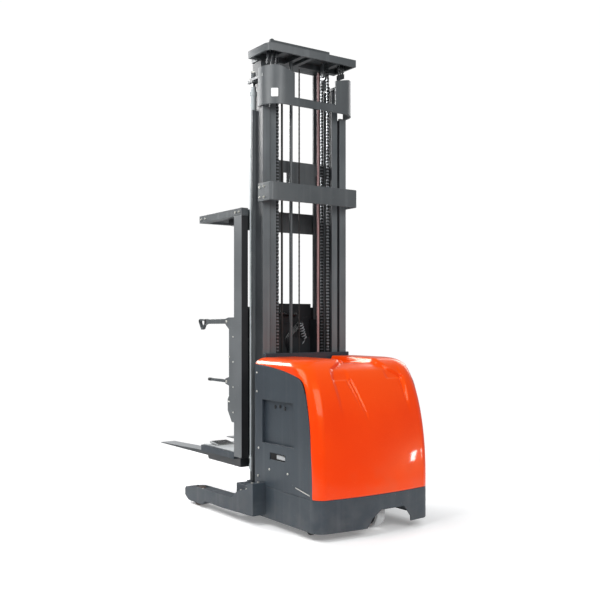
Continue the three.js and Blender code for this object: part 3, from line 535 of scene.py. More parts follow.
EDGE_ROUND = {
    "chassis_skirt": 0.004, "straddle_leg_left": 0.006, "straddle_leg_right": 0.006, "base_frame": 0.003,
    "side_panel_left": 0.002, "side_panel_right": 0.002, "outer_crossbeam": 0.003, "middle_yoke": 0.003,
    "fork_left": 0.003, "fork_right": 0.003, "platform_floor": 0.004, "console": 0.012, "overhead_guard": 0.004,
    "gate_upper_left": 0.006, "gate_upper_right": 0.006, "gate_lower_left": 0.005, "gate_lower_right": 0.005,
    "latch_lever": 0.002, "head_plate": 0.003, "floor_mat": 0.002, "presence_pedal": 0.003,
}
PAINT_BY_START = {
    "cab_post": POST_PAINT, "outer_mast": CHANNEL_PAINT, "middle_mast": CHANNEL_PAINT, "inner_mast": CHANNEL_PAINT,
    "fork_": FORK_PAINT, "riser_pipe": FINISHES["mast"], "base_frame": FINISHES["body"],
}
for name, node in NODES.items():
    special = [paint for start, paint in PAINT_BY_START.items() if name.startswith(start)]
    node.material_slots[0].material = special[0] if special else FINISHES[SLOT_OF[name]]
    round_edges(node, EDGE_ROUND.get(name, 0.0025))
print("rounded the edges of", len(NODES), "parts")

# %% [markdown]
# ## A small bench of shape tools
#
# Everything added from here on is made point by point. `Form` collects corners and faces from turned
# profiles, swept tubes, plates and bolts, and `make` turns the lot into one piece that rides on a body.

# %% Form: corners and faces
# A turned profile stops this far from its own axis, so that no ring closes to a point.
CORE = 0.0002


class Form:
    def __init__(self):
        self.corners = []
        self.faces = []

    def add(self, corners, faces):
        base = len(self.corners)
        self.corners.extend(tuple(map(float, corner)) for corner in corners)
        self.faces.extend(tuple(base + index for index in face) for face in faces)

    def turned(self, profile, centre, axis=(1, 0, 0), sides=48):
        """A closed profile of (radius, along) points, turned about an axis through centre."""
        forward = Vector(axis).normalized()
        turn = forward.to_track_quat("Z", "Y").to_matrix()
        corners = []
        for i in range(sides):
            angle = 2 * math.pi * i / sides
            for radius, along in profile:
                spot = Vector((radius * math.cos(angle), radius * math.sin(angle), along))
                corners.append(Vector(centre) + turn @ spot)
        count = len(profile)
        faces = []
        for i in range(sides):
            for j in range(count):
                a, b = i * count + j, ((i + 1) % sides) * count + j
                c, d = ((i + 1) % sides) * count + (j + 1) % count, i * count + (j + 1) % count
                faces.append((a, b, c, d))
        self.add(corners, faces)

    def tube(self, path, radius, sides=12):
        """A round tube along a path, with flat ends. radius may be one number or one for each point."""
        path = [Vector(point) for point in path]
        radii = radius if hasattr(radius, "__len__") else [radius] * len(path)
        side = None
        corners = []
        for i, point in enumerate(path):
            ahead = path[min(i + 1, len(path) - 1)] - path[max(i - 1, 0)]
            ahead.normalize()
            if side is None:
                side = ahead.orthogonal().normalized()
            side = (side - ahead * side.dot(ahead)).normalized()
            other = ahead.cross(side)
            for k in range(sides):
                angle = 2 * math.pi * k / sides
                corners.append(point + radii[i] * (math.cos(angle) * side + math.sin(angle) * other))
        faces = [tuple(reversed(range(sides))), tuple(range(len(corners) - sides, len(corners)))]
        for i in range(len(path) - 1):
            for k in range(sides):
                a, b = i * sides + k, i * sides + (k + 1) % sides
                faces.append((a, b, b + sides, a + sides))
        self.add(corners, faces)

    def plate(self, outline, low, high, across="z"):
        """A flat plate: outline in the other two axes in order, from low to high across."""
        spot = {
            "x": lambda a, b, c: (c, a, b), "y": lambda a, b, c: (a, c, b), "z": lambda a, b, c: (a, b, c),
        }[across]
        count = len(outline)
        corners = [spot(a, b, c) for c in (low, high) for a, b in outline]
        faces = [tuple(reversed(range(count))), tuple(range(count, 2 * count))]
        faces += [(i, (i + 1) % count, (i + 1) % count + count, i + count) for i in range(count)]
        self.add(corners, faces)

    def bolt(self, centre, axis, size=0.008):
        """A washer and a hexagon head with a turned chamfer, standing on a face."""
        forward = Vector(axis).normalized()
        self.turned([(CORE, 0), (size * 1.25, 0), (size * 1.25, size * 0.22), (CORE, size * 0.22)], centre,
                    axis, 18)
        turn = forward.to_track_quat("Z", "Y").to_matrix()
        rings = ((size, 0.22), (size, 0.72), (size * 0.84, 0.9), (size * 0.30, 0.92))
        corners = []
        for radius, along in rings:
            for k in range(6):
                angle = math.pi * k / 3
                corners.append(Vector(centre) + turn @ Vector(
                    (radius * math.cos(angle), radius * math.sin(angle), along * size)))
        faces = [(5, 4, 3, 2, 1, 0), (18, 19, 20, 21, 22, 23)]
        for ring in range(3):
            for k in range(6):
                a, b = ring * 6 + k, ring * 6 + (k + 1) % 6
                faces.append((a, b, b + 6, a + 6))
        self.add(corners, faces)

    def make(self, name, body, slot, finish=None, replaces=(), bevel=0.0, angle=35):
        mesh = bpy.data.meshes.new(name)
        mesh.from_pydata(self.corners, [], self.faces)
        mesh.validate()
        mesh.update()
        mesh.materials.append(finish or FINISHES[slot])
        mesh.shade_smooth()
        mesh.set_sharp_from_angle(angle=math.radians(angle))
        piece = bpy.data.objects.new(name, mesh)
        bpy.context.scene.collection.objects.link(piece)
        tidy_normals(mesh)
        if bevel:
            bevel_edges(piece, bevel, math.radians(angle))
        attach(piece, body)
        if replaces:
            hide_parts(*replaces)
        print(f"{name}: {len(mesh.vertices)} corners on {body}")
        return piece


def tidy_normals(mesh):
    """Turn every face outwards."""
    work = bmesh.new()
    work.from_mesh(mesh)
    bmesh.ops.recalc_face_normals(work, faces=work.faces)
    work.to_mesh(mesh)
    work.free()


def rectangle(a0, b0, a1, b1):
    return [(a0, b0), (a1, b0), (a1, b1), (a0, b1)]


def middle_of(node):
    low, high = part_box(node)
    return (low + high) / 2


def seat(node, start, direction):
    """The point and the normal where a straight line from start first meets a part."""
    found, spot, normal, _ = NODES[node].ray_cast(Vector(start), Vector(direction))
    assert found, f"nothing of {node} lies that way"
    return spot, normal


print("shape tools ready")

# %% [markdown]
# ## The hood
#
# The hood is one thin moulding that leans back towards the mast as it rises. It is built as rows around the
# truck at rising heights, so that each row can start and end exactly on the curved seam with the side panel.
# Then the moulder's details are pressed into it: two raised shoulders, a hollow between them, two short
# creases and the grooves that run down from them.

# %% Hood dimensions
HOOD_LOW, HOOD_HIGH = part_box("hood")
HOOD_HALF = HOOD_HIGH.x
HOOD_REAR = HOOD_LOW.y
HOOD_END = HOOD_HIGH.y - HOOD_LOW.y
SKIRT_TOP, HOOD_TOP = 0.285, HOOD_HIGH.z
LEAN, BULGE, CORNER, CORNER_GROWTH = 0.35, 0.03, 0.085, 0.06
SHOULDER_FOOT, SHOULDER_WIDTH = 1.165, 0.100
SEAM_GAP = 0.0025
SEAM = np.array([
    (0.104, 0.2865), (0.106, 0.422), (0.118, 0.592), (0.135, 0.767), (0.172, 0.936), (0.214, 1.048),
    (0.264, 1.100), (0.372, 1.130), (0.540, 1.158), (0.730, 1.176), (0.845, 1.182)])


def catmull(points, steps):
    """A smooth curve through points."""
    padded = np.vstack([2 * points[0] - points[1], points, 2 * points[-1] - points[-2]])
    curve = []
    for i in range(len(points) - 1):
        a, b, c, d = padded[i:i + 4]
        for t in np.linspace(0, 1, steps, endpoint=False):
            curve.append(0.5 * (2 * b + (c - a) * t + (2 * a - 5 * b + 4 * c - d) * t * t
                                + (3 * b - a - 3 * c + d) * t ** 3))
    curve.append(points[-1])
    return np.array(curve)


SEAM_CURVE = catmull(SEAM, 10) + (-SEAM_GAP, SEAM_GAP)
print("hood from", round(SKIRT_TOP, 3), "to", round(HOOD_TOP, 3))


# %% Hood surface
def row_shape(height):
    turn = math.asin(min(1, (height - SKIRT_TOP) / (HOOD_TOP - SKIRT_TOP)))
    shoulder = max(0, (height - SHOULDER_FOOT) / (HOOD_TOP - SHOULDER_FOOT))
    half = HOOD_HALF - SHOULDER_WIDTH * (1 - math.sqrt(max(0, 1 - shoulder ** 2)))
    return half, LEAN * (1 - math.cos(turn)), BULGE * (1 - math.sin(turn)), CORNER + CORNER_GROWTH * (1 - math.cos(turn))


def right_half_row(height, count):
    """Points from the middle of the rear face round the corner to the seam, evenly spaced."""
    half, front, bulge, corner = row_shape(height)
    flat = half - corner
    across = np.linspace(0, 1, 40)
    points = [(flat * a, front + bulge * a * a) for a in across]
    for t in np.linspace(0, math.pi / 2, 24)[1:]:
        points.append((flat + corner * math.sin(t), front + bulge + corner * (1 - math.cos(t))))
    points.append((half, HOOD_END))
    points = np.array(points)
    end = HOOD_END if height > SEAM_CURVE[-1, 1] else np.interp(height, SEAM_CURVE[:, 1], SEAM_CURVE[:, 0])
    inside = points[points[:, 1] < end]
    after = points[len(inside)]
    before = inside[-1]
    share = (end - before[1]) / (after[1] - before[1])
    trimmed = np.vstack([inside, before + share * (after - before)])
    run = np.concatenate([[0], np.cumsum(np.linalg.norm(np.diff(trimmed, axis=0), axis=1))])
    wanted = np.linspace(0, run[-1], count)
    return np.column_stack([np.interp(wanted, run, trimmed[:, 0]), np.interp(wanted, run, trimmed[:, 1])])


def ease(value, low, high):
    t = np.clip((value - low) / (high - low), 0, 1)
    return t * t * (3 - 2 * t)


def line_groove(x, s, start, end, width):
    """How deep inside a groove a point lies, for a groove from start to end on the unrolled surface."""
    start, end = np.array(start), np.array(end)
    along = end - start
    t = np.clip(((x - start[0]) * along[0] + (s - start[1]) * along[1]) / (along @ along), 0, 1)
    distance = np.hypot(x - start[0] - t * along[0], s - start[1] - t * along[1])
    return np.exp(-(distance / width) ** 2) * (1 - 0.75 * t)


def pressed_in(x, y, z):
    """Depth in metres that the mould's details take off the plain surface, at each point."""
    left_edge = np.interp(z, [0.80, 0.88, 1.10, 1.17, 1.225], [-0.272, -0.272, -0.278, -0.250, -0.120])
    right_edge = np.interp(z, [0.80, 0.93, 1.10, 1.16, 1.21], [0.352, 0.353, 0.362, 0.250, 0.200])
    between = ease(x, left_edge - 0.022, left_edge + 0.022) * (1 - ease(x, right_edge - 0.018,
                                                                        right_edge + 0.018))
    depth = 0.014 * between * ease(z, 0.80, 1.06)
    on_top = between * ease(z, 1.15, 1.21)
    depth += on_top * (0.010 + 0.022 * ease(y, 0.16, 0.48))
    above_crease = ease(z, 1.084, 1.102) * (1 - ease(z, 1.11, 1.19))
    left_crease = ease(x, -0.290, -0.270) * (1 - ease(x, -0.150, -0.110))
    right_crease = ease(x, 0.200, 0.240) * (1 - ease(x, 0.345, 0.362))
    depth += 0.007 * above_crease * (left_crease + right_crease)
    depth += 0.010 * line_groove(x, z, (-0.121, 1.088), (-0.059, 0.830), 0.010)
    depth += 0.007 * line_groove(x, z, (-0.150, 1.080), (-0.100, 0.900), 0.008)
    depth += 0.009 * line_groove(x, z, (0.345, 1.088), (0.345, 0.930), 0.009)
    pad = ease(x, 0.01, 0.03) * (1 - ease(x, 0.11, 0.13)) * ease(y, 0.58, 0.60) * (1 - ease(y, 0.69, 0.71))
    return depth - 0.020 * pad * ease(z, 1.20, 1.225)


def build_hood():
    heights = list(np.interp(np.linspace(0, 1, 150), np.linspace(0, 1, len(SEAM_CURVE)), SEAM_CURVE[:, 1]))
    heights[0] = HOOD_LOW.z
    crown_turns = np.linspace(0, 1, 30)[1:]
    heights += [SEAM_CURVE[-1, 1] + (HOOD_TOP - SEAM_CURVE[-1,
                                                           1]) * math.sin(t * math.pi / 2) for t in crown_turns]
    count = 150
    rows = []
    for height in heights:
        right = right_half_row(min(height, HOOD_TOP - 1e-6), count)
        whole = np.vstack([right[::-1] * (-1, 1), right[1:]])
        rows.append(np.column_stack([whole, np.full(len(whole), height)]))
    last = rows[-1]
    centre = np.array([0, HOOD_END, HOOD_TOP])
    for share in np.linspace(1, 0.02, 90)[1:]:
        rows.append(centre + share * (last - centre))
    grid = np.array(rows)
    normals = np.cross(np.gradient(grid, axis=1), np.gradient(grid, axis=0))
    normals /= np.linalg.norm(normals, axis=2, keepdims=True) + 1e-12
    outward = np.where(((grid - (0, 0.6, 0.7)) * normals).sum(axis=2, keepdims=True) < 0, -1, 1)
    depth = pressed_in(grid[..., 0], grid[..., 1], grid[..., 2])
    grid = grid - normals * outward * depth[..., None]
    grid[..., 1] = np.clip(grid[..., 1], 0.0, HOOD_END) + HOOD_REAR
    grid[..., 2] = np.clip(grid[..., 2], HOOD_LOW.z, HOOD_TOP)
    form = Form()
    levels, around = grid.shape[:2]
    faces = [(i * around + j, i * around + j + 1, (i + 1) * around + j + 1, (i + 1) * around + j)
             for i in range(levels - 1) for j in range(around - 1)]
    form.add(grid.reshape(-1, 3), faces)
    return form


hood = build_hood().make("hood_moulding", "hood_cover", "hood", replaces=["hood"], angle=88)
wall = hood.modifiers.new("moulded_wall", "SOLIDIFY")
wall.thickness = 0.006
wall.offset = -1

# %% [markdown]
# ## Wheels
#
# Wheels are turned profiles, so each is drawn once as half a section and swept round its axle. The drive
# wheel has a thick pale tread on an iron hub with a ring of nuts, and the two load wheels under the legs are
# dense brown rollers.

# %% Drive, load and caster wheels
def wheel_form(node, hub_radius, bore, tread_edge=0.006, dish=0.010):
    low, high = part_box(node)
    centre = (low + high) / 2
    radius, half = (high.z - low.z) / 2, (high.x - low.x) / 2
    tread = Form()
    tread.turned([
        (hub_radius, -half + 0.003), (radius - tread_edge, -half), (radius - tread_edge * 0.3,
                                                                    -half + tread_edge * 0.4),
        (radius, -half + tread_edge), (radius, -0.001), (radius - 0.0012, 0), (radius, 0.001), (radius,
                                                                                                half - tread_edge),
        (radius - tread_edge * 0.3, half - tread_edge * 0.4), (radius - tread_edge, half), (hub_radius,
                                                                                            half - 0.003),
    ], centre, sides=96)
    hub = Form()
    hub.turned([
        (bore, -half + 0.001), (bore + 0.012, -half + 0.001), (bore + 0.016,
                                                               -half + dish), (hub_radius - 0.012,
                                                                               -half + dish),
        (hub_radius - 0.006, -half + 0.004), (hub_radius, -half + 0.004), (hub_radius, half - 0.004),
        (hub_radius - 0.006, half - 0.004), (hub_radius - 0.012, half - dish), (bore + 0.016, half - dish),
        (bore + 0.012, half - 0.001), (bore, half - 0.001),
    ], centre, sides=72)
    return tread, hub, centre, half


def ring_of_bolts(form, centre, along, axis, radius, count, size):
    for k in range(count):
        angle = 2 * math.pi * (k + 0.5) / count
        form.bolt(centre + Vector((along, radius * math.cos(angle), radius * math.sin(angle))), axis, size)


tread, hub, centre, half = wheel_form("drive_wheel", 0.088, 0.0165, 0.008, 0.014)
ring_of_bolts(hub, centre, -half + 0.013, (-1, 0, 0), 0.050, 5, 0.007)
tread.make("drive_tread", "drive_roller", "tread", replaces=["drive_wheel"])
hub.make("drive_hub", "drive_roller", "frame_black", bevel=0.0008)
for side in ("left", "right"):
    tread, hub, *_ = wheel_form(f"load_wheel_{side}", 0.052, 0.0138, 0.006, 0.006)
    tread.make(f"load_tread_{side}", f"load_roller_{side}", "load_tread", replaces=[f"load_wheel_{side}"])
    hub.make(f"load_hub_{side}", f"load_roller_{side}", "steel")
tread, hub, *_ = wheel_form("caster_wheel", 0.030, 0.0068, 0.005, 0.004)
tread.make("caster_tread", "caster_roller", "rubber", replaces=["caster_wheel"])
hub.make("caster_hub", "caster_roller", "steel")

# %% [markdown]
# ## Leaf chains
#
# A leaf chain is nothing but plates and pins: plates of one link sit between the plates of the next. One
# plate is outlined once, and every link is the same outline moved along the chain's line, so a run can be
# straight or go over a sheave.

# %% Chain links
def plate_outline(pitch, height):
    outline = []
    for end, first in ((pitch / 2, -90), (-pitch / 2, 90)):
        for step in range(5):
            angle = math.radians(first + 45 * step)
            outline.append((end + height / 2 * math.cos(angle), height / 2 * math.sin(angle)))
        outline.append((0, math.copysign(height * 0.36, end)))
    return outline


def chain_form(line, middle_x, width, height):
    """line is a list of (y, z) pin centres a pitch apart."""
    form = Form()
    outline = plate_outline(CHAIN_PITCH, height)
    thick = width / 8
    wide = [-3, -1, 1, 3]
    narrow = [-2, 0, 2]
    for i in range(len(line) - 1):
        (y0, z0), (y1, z1) = line[i], line[i + 1]
        length = math.hypot(y1 - y0, z1 - z0)
        along = ((y1 - y0) / length, (z1 - z0) / length)
        spots = [((y0 + y1) / 2 + a * along[0] - b * along[1], (z0 + z1) / 2 + a * along[1] + b * along[0])
                 for a, b in outline]
        for place in wide if i % 2 else narrow:
            x = middle_x + place * thick
            form.plate(spots, x - thick * 0.46, x + thick * 0.46, "x")
    for y, z in line:
        circle = [(y + height * 0.24 * math.cos(k * math.pi / 4),
                   z + height * 0.24 * math.sin(k * math.pi / 4))
                  for k in range(8)]
        form.plate(circle, middle_x - width / 2, middle_x + width / 2, "x")
    return form


def straight_line(y, low, high):
    count = int((high - low) / CHAIN_PITCH)
    start = (high + low - count * CHAIN_PITCH) / 2
    return [(y, start + i * CHAIN_PITCH) for i in range(count + 1)]


for side in ("left", "right"):
    low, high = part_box(f"lift_chain_{side}")
    line = straight_line((low.y + high.y) / 2, low.z + 0.008, high.z - 0.008)
    chain = chain_form(line, (low.x + high.x) / 2, 0.015, 0.0155).make(
        f"lift_leaf_chain_{side}", "middle_stage", "chain", replaces=[f"lift_chain_{side}"])
    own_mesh(chain)

# %% Carriage chains over their sheaves
SHEAVE_PITCH_RADIUS = 0.040


def over_sheave(node):
    low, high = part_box(node)
    middle_y = (low.y + high.y) / 2
    top = middle_of(node.replace("carriage_chain", "head_sheave")).z
    run = top - low.z - 0.01
    total = 2 * run + math.pi * SHEAVE_PITCH_RADIUS
    line = []
    for i in range(int(total / CHAIN_PITCH) + 1):
        s = i * CHAIN_PITCH
        if s < run:
            line.append((middle_y - SHEAVE_PITCH_RADIUS, low.z + 0.01 + s))
        elif s < run + math.pi * SHEAVE_PITCH_RADIUS:
            turn = (s - run) / SHEAVE_PITCH_RADIUS
            line.append((middle_y - SHEAVE_PITCH_RADIUS * math.cos(turn),
                         top + SHEAVE_PITCH_RADIUS * math.sin(turn)))
        else:
            line.append((middle_y + SHEAVE_PITCH_RADIUS, top - (s - run - math.pi * SHEAVE_PITCH_RADIUS)))
    return line


for side in ("left", "right"):
    low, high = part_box(f"carriage_chain_{side}")
    chain = chain_form(over_sheave(f"carriage_chain_{side}"), (low.x + high.x) / 2, 0.023, 0.0155)
    chain.make(f"carriage_leaf_chain_{side}", "inner_stage", "chain", replaces=[f"carriage_chain_{side}"])
    centre = middle_of(f"head_sheave_{side}")
    sheave = Form()
    sheave.turned([
        (0.0105, -0.0158), (0.020, -0.0158), (0.0205, -0.0140), (0.029, -0.0140), (0.030,
                                                                                   -0.0158), (0.0358,
                                                                                              -0.0158),
        (0.0358, -0.0130), (0.0312, -0.0124), (0.0312, 0.0124), (0.0358, 0.0130), (0.0358, 0.0158), (0.030,
                                                                                                     0.0158),
        (0.029, 0.0140), (0.0205, 0.0140), (0.020, 0.0158), (0.0105, 0.0158),
    ], centre, sides=72)
    for k in range(6):
        angle = k * math.pi / 3
        sheave.bolt(centre + Vector((-0.014, 0.025 * math.cos(angle), 0.025 * math.sin(angle))),
                    (-1, 0, 0), 0.0022)
    sheave.make(f"turned_sheave_{side}", f"sheave_{side}", "steel", replaces=[f"head_sheave_{side}"])

# %% [markdown]
# ## Hoses and cable
#
# Hydraulic hose ends in a crimped ferrule with rings pressed into it, on a narrow stem. The control cable is
# thinner and wears a spiral wrap.

# %% Hoses in the mast
def hose_form(node, ribbed=False):
    low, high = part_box(node)
    x, y, radius = (low.x + high.x) / 2, (low.y + high.y) / 2, (high.x - low.x) / 2
    form = Form()
    body = radius * 0.98
    heights = np.linspace(low.z + 0.06, high.z - 0.06, 240 if ribbed else 40)
    radii = [body * (1 + (0.13 if ribbed and i % 3 == 0 else 0.0)) for i in range(len(heights))]
    form.tube([(x, y, z) for z in heights], radii, 16)
    for base, way in ((low.z, 1), (high.z, -1)):
        profile = [(CORE, 0), (radius * 0.62, 0), (radius * 0.62, 0.012), (radius * 0.98, 0.013)]
        for ring in range(4):
            start = 0.026 + ring * 0.009
            profile += [(radius * 0.98, start), (radius * 0.88, start + 0.001),
                        (radius * 0.88, start + 0.004),
                        (radius * 0.98, start + 0.005)]
        profile += [(radius * 0.98, 0.066), (body, 0.068), (CORE, 0.068)]
        form.turned(profile, (x, y, base), (0, 0, way), 20)
    return form, high.z


for node, slot, ribbed in (("hose_left", "rubber", False), ("hose_right", "hose", False),
                           ("control_cable", "rubber", True)):
    form, top = hose_form(node, ribbed)
    piece = form.make(f"{node}_run", "middle_stage", slot, replaces=[node])
    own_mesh(piece)

# %% [markdown]
# ## Controls
#
# The steering wheel has a thick grip, three dished spokes and a spinner knob, because it is turned with one
# hand. The lever carries a rocker under the thumb and the stop button is a mushroom on a collar.

# %% Where the controls stand
JOINTS = {joint["name"]: joint for joint in frame["joints"]}
FACE_NORMAL = Vector(JOINTS["steering_turn"]["axis"])
FACE_UP = Vector((0, -FACE_NORMAL.z, FACE_NORMAL.y))
FACE_ACROSS = Vector((1, 0, 0))


def on_face(origin, across, up, out):
    return Vector(origin) + across * FACE_ACROSS + up * FACE_UP + out * FACE_NORMAL


steer_at = Vector(JOINTS["steering_turn"]["pos_m"])
wheel = Form()
rim = [on_face(steer_at, 0.078 * math.cos(a), 0.078 * math.sin(a), 0.048) for a in np.linspace(0,
                                                                                               2 * math.pi, 73)]
wheel.tube(rim, [0.0088 + 0.0004 * math.cos(24 * a) for a in np.linspace(0, 2 * math.pi, 73)], 16)
wheel.turned([(CORE, 0.001), (0.0195, 0.001), (0.0195, 0.006), (0.015, 0.010), (0.015, 0.040),
              (0.024, 0.046),
              (0.024, 0.050), (0.020, 0.0518), (CORE, 0.0520)], steer_at, FACE_NORMAL, 40)
for k in range(3):
    angle = 2 * math.pi * k / 3
    out = Vector((math.cos(angle), -math.sin(angle)))
    points = [on_face(steer_at, out.x * r, out.y * r, h) for r, h in
              ((0.018, 0.047), (0.035, 0.0445), (0.055, 0.0445), (0.070, 0.047), (0.076, 0.048))]
    wheel.tube(points, [0.0065, 0.0055, 0.0050, 0.0055, 0.0065], 12)
wheel.make("grip_wheel", "wheel_control", "rubber", replaces=["steering_wheel"])
knob = Form()
knob_at = on_face(steer_at, 0.0, 0.078, 0.048)
knob.turned([(CORE, 0.006), (0.006, 0.006), (0.006, 0.020), (0.014, 0.024), (0.0165, 0.032),
             (0.0150, 0.040),
             (0.0090, 0.0445), (CORE, 0.0455)], knob_at, FACE_NORMAL, 32)
knob.make("spinner_knob", "wheel_control", "case_black")

# %% Lever and stop button
lever_at = Vector(JOINTS["lever_tilt"]["pos_m"])
lever = Form()
lever.turned([(CORE, -0.004), (0.0088, -0.004), (0.0088, 0.0085), (0.0215, 0.0090), (0.0215, 0.0110),
              (0.0175, 0.0135),
              (0.0185, 0.0160), (0.0140, 0.0185), (0.0150, 0.0210), (0.0095, 0.0240), (0.0085,
                                                                                       0.060), (0.0125,
                                                                                                0.066),
              (0.0150, 0.074), (0.0135, 0.084), (0.0155, 0.094), (0.0140, 0.104), (0.0165, 0.116), (0.0150,
                                                                                                    0.1255),
              (0.0080, 0.1295), (CORE, 0.1300)], lever_at, FACE_NORMAL, 40)
lever.make("lever_grip", "lever_control", "rubber", replaces=["control_lever"])
rocker = Form()
rocker.turned([(CORE, 0), (0.0055, 0), (0.0055, 0.0015), (0.0045, 0.0028), (CORE, 0.0030)],
              on_face(lever_at, 0, -0.0135, 0.115), -FACE_UP, 24)
rocker.make("lever_thumb_rocker", "lever_control", "red")

stop_at = Vector((middle_of("stop_button").x, steer_at.y, steer_at.z))
button = Form()
button.turned([(CORE, -0.006), (0.0098, -0.006), (0.0098, 0.0098), (0.0185, 0.0102), (0.0198, 0.0125),
               (0.0195, 0.0160),
               (0.0165, 0.0205), (0.0100, 0.0226), (CORE, 0.0230)], stop_at, FACE_NORMAL, 48)
button.make("mushroom_button", "stop_control", "red", replaces=["stop_button"])
collar = Form()
collar.turned([(0.0112, 0.0001), (0.0240, 0.0001), (0.0240, 0.0010), (0.0220, 0.0016), (0.0112, 0.0016)],
              stop_at, FACE_NORMAL, 40)
collar.make("button_collar", "cab", "steel")

# %% [markdown]
# ## Console
#
# The console is a moulded box. Around the controls it carries a small display, a row of keys and a vent, and
# on the side that faces the mast a coiled lead and a cable loom run up its back plate. Seen through the mast,
# they are what gives the black box its texture.

# %% Console face and back
console_low, console_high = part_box("console")


def face_slab(form, across, up, wide, tall, proud, base=0.0):
    corners = [on_face(Vector((across, steer_at.y, steer_at.z)), a * wide / 2, up + b * tall / 2, c)
               for c in (base, proud) for a, b in SQUARE]
    form.add(corners, [(3, 2, 1, 0), (4, 5, 6, 7), (0, 1, 5, 4), (1, 2, 6, 5), (2, 3, 7, 6), (3, 0, 4, 7)])


bezel = Form()
face_slab(bezel, -0.02 + 0.105, 0.018, 0.060, 0.040, 0.004)
bezel.make("display_bezel", "cab", "case_black", bevel=0.0012)
screen = Form()
face_slab(screen, -0.02 + 0.105, 0.018, 0.050, 0.030, 0.0046, 0.0035)
screen.make("display_pane", "cab", "heat_sink", finish=LENS)
keys = Form()
for row in range(2):
    for column in range(4):
        face_slab(keys, 0.19 + column * 0.018, -0.020 + row * 0.020, 0.013, 0.012, 0.004)
keys.make("key_pads", "cab", "rubber", bevel=0.0012)

ribs = Form()
rear_y = console_low.y
for row in range(7):
    z = console_high.z - 0.075 - row * 0.018
    ribs.plate(rectangle(-0.20, z, 0.10, z + 0.007), rear_y - 0.005, rear_y + 0.001, "y")
ribs.plate(rectangle(-0.385, 1.205, 0.385, 1.217), rear_y - 0.004, rear_y + 0.001, "y")
ribs.plate(rectangle(0.14, 1.26, 0.36, 1.40), rear_y - 0.010, rear_y + 0.001, "y")
ribs.make("console_back_ribs", "cab", "case_black", bevel=0.0015)


def coil(start, end, radius, turns, around):
    """Points of a coiled lead between start and end."""
    start, end = Vector(start), Vector(end)
    ahead = (end - start).normalized()
    side = ahead.orthogonal().normalized()
    other = ahead.cross(side)
    total = turns * around
    points = []
    for i in range(total + 1):
        share = i / total
        angle = 2 * math.pi * i / around
        points.append(start.lerp(end, share) + radius * (math.cos(angle) * side + math.sin(angle) * other))
    return points


leads = Form()
lead_y = rear_y - 0.022
leads.tube(coil((-0.22, lead_y, 1.575), (0.10, lead_y, 1.560), 0.013, 24, 12), 0.0042, 8)
for offset in range(4):
    x = 0.015 + 0.016 * offset
    sweep = catmull(np.array([(x, lead_y + 0.006, 1.16), (x + 0.004, lead_y, 1.26),
                              (x - 0.02, lead_y, 1.36),
                              (x + 0.05, lead_y, 1.44), (x + 0.11, lead_y + 0.004, 1.50)]), 8)
    leads.tube(sweep, 0.0045, 8)
leads.make("console_leads", "cab", "rubber", finish=SHINY_BLACK)

# %% [markdown]
# ## Gates, guard, lamp and pedal
#
# Black rubber sleeves cover the gate bars where a hand takes them, and end caps close the thin bars. Under
# the guard the lamp gets a ribbed lens, and bolts hold the guard to the posts.

# %% Coiled lead of the controls
curly = Form()
curly.tube(coil((0.130, lead_y - 0.016, 1.490), (0.175, lead_y - 0.012, 1.365), 0.018, 6, 18), 0.0050, 8)
curly.tube(catmull(np.array([(0.175, lead_y - 0.012, 1.365), (0.185, lead_y, 1.345),
                             (0.175, lead_y + 0.008, 1.325),
                             (0.160, lead_y + 0.012, 1.310)]), 8), 0.005, 8)
curly.make("coiled_lead", "cab", "hose", finish=GREY_LEAD)

# %% Gate sleeves
POST_SIDE = 0.4598
for side, out in SIDES:
    low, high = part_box(f"gate_upper_{side}")
    x = (low.x + high.x) / 2
    half = (high.x - low.x) / 2
    pad = Form()
    start, end = high.y - 0.126, high.y - 0.106
    pad.plate([(start, 1.4800), (end, 1.4795), (end + 0.006, 1.4850), (end + 0.006, 1.5160), (end, 1.5225),
               (start, 1.5235), (start - 0.006, 1.5180), (start - 0.006,
                                                          1.4850)], x - half - 0.003, x + half + 0.003, "x")
    nose = high.y - 0.0004
    pad.plate([(nose - 0.012, 1.4905), (nose - 0.004, 1.4925), (nose, 1.4985), (nose, 1.5145),
               (nose - 0.007, 1.5215),
               (nose - 0.013, 1.5190)], x - half - 0.003, x + half + 0.003, "x")
    pad.make(f"gate_grip_{side}", f"upper_bar_{side}", "rubber", bevel=0.004)
    low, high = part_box(f"gate_lower_{side}")
    cap = Form()
    cap.turned([(CORE, -0.045), (0.0125, -0.045), (0.0135, -0.040), (0.0135, -0.004), (0.0110, 0.0),
                (CORE, 0.0)],
               ((low.x + high.x) / 2, high.y - 0.0005, (low.z + high.z) / 2), (0, 1, 0), 28)
    cap.make(f"gate_cap_{side}", f"lower_bar_{side}", "rubber")
    pivots = Form()
    for z in (1.502, 1.020):
        pivots.bolt((out * POST_SIDE, 0.031, z), (out, 0, 0), 0.0095)
    for y, z in ((-0.075, 0.78), (-0.075, 0.98), (-0.075, 1.18), (-0.075, 1.38), (-0.012, 0.86),
                 (-0.012, 1.22)):
        pivots.bolt((out * POST_SIDE, y, z), (out, 0, 0), 0.006)
    pivots.make(f"post_fixings_{side}", "cab", "steel", finish=ZINC)

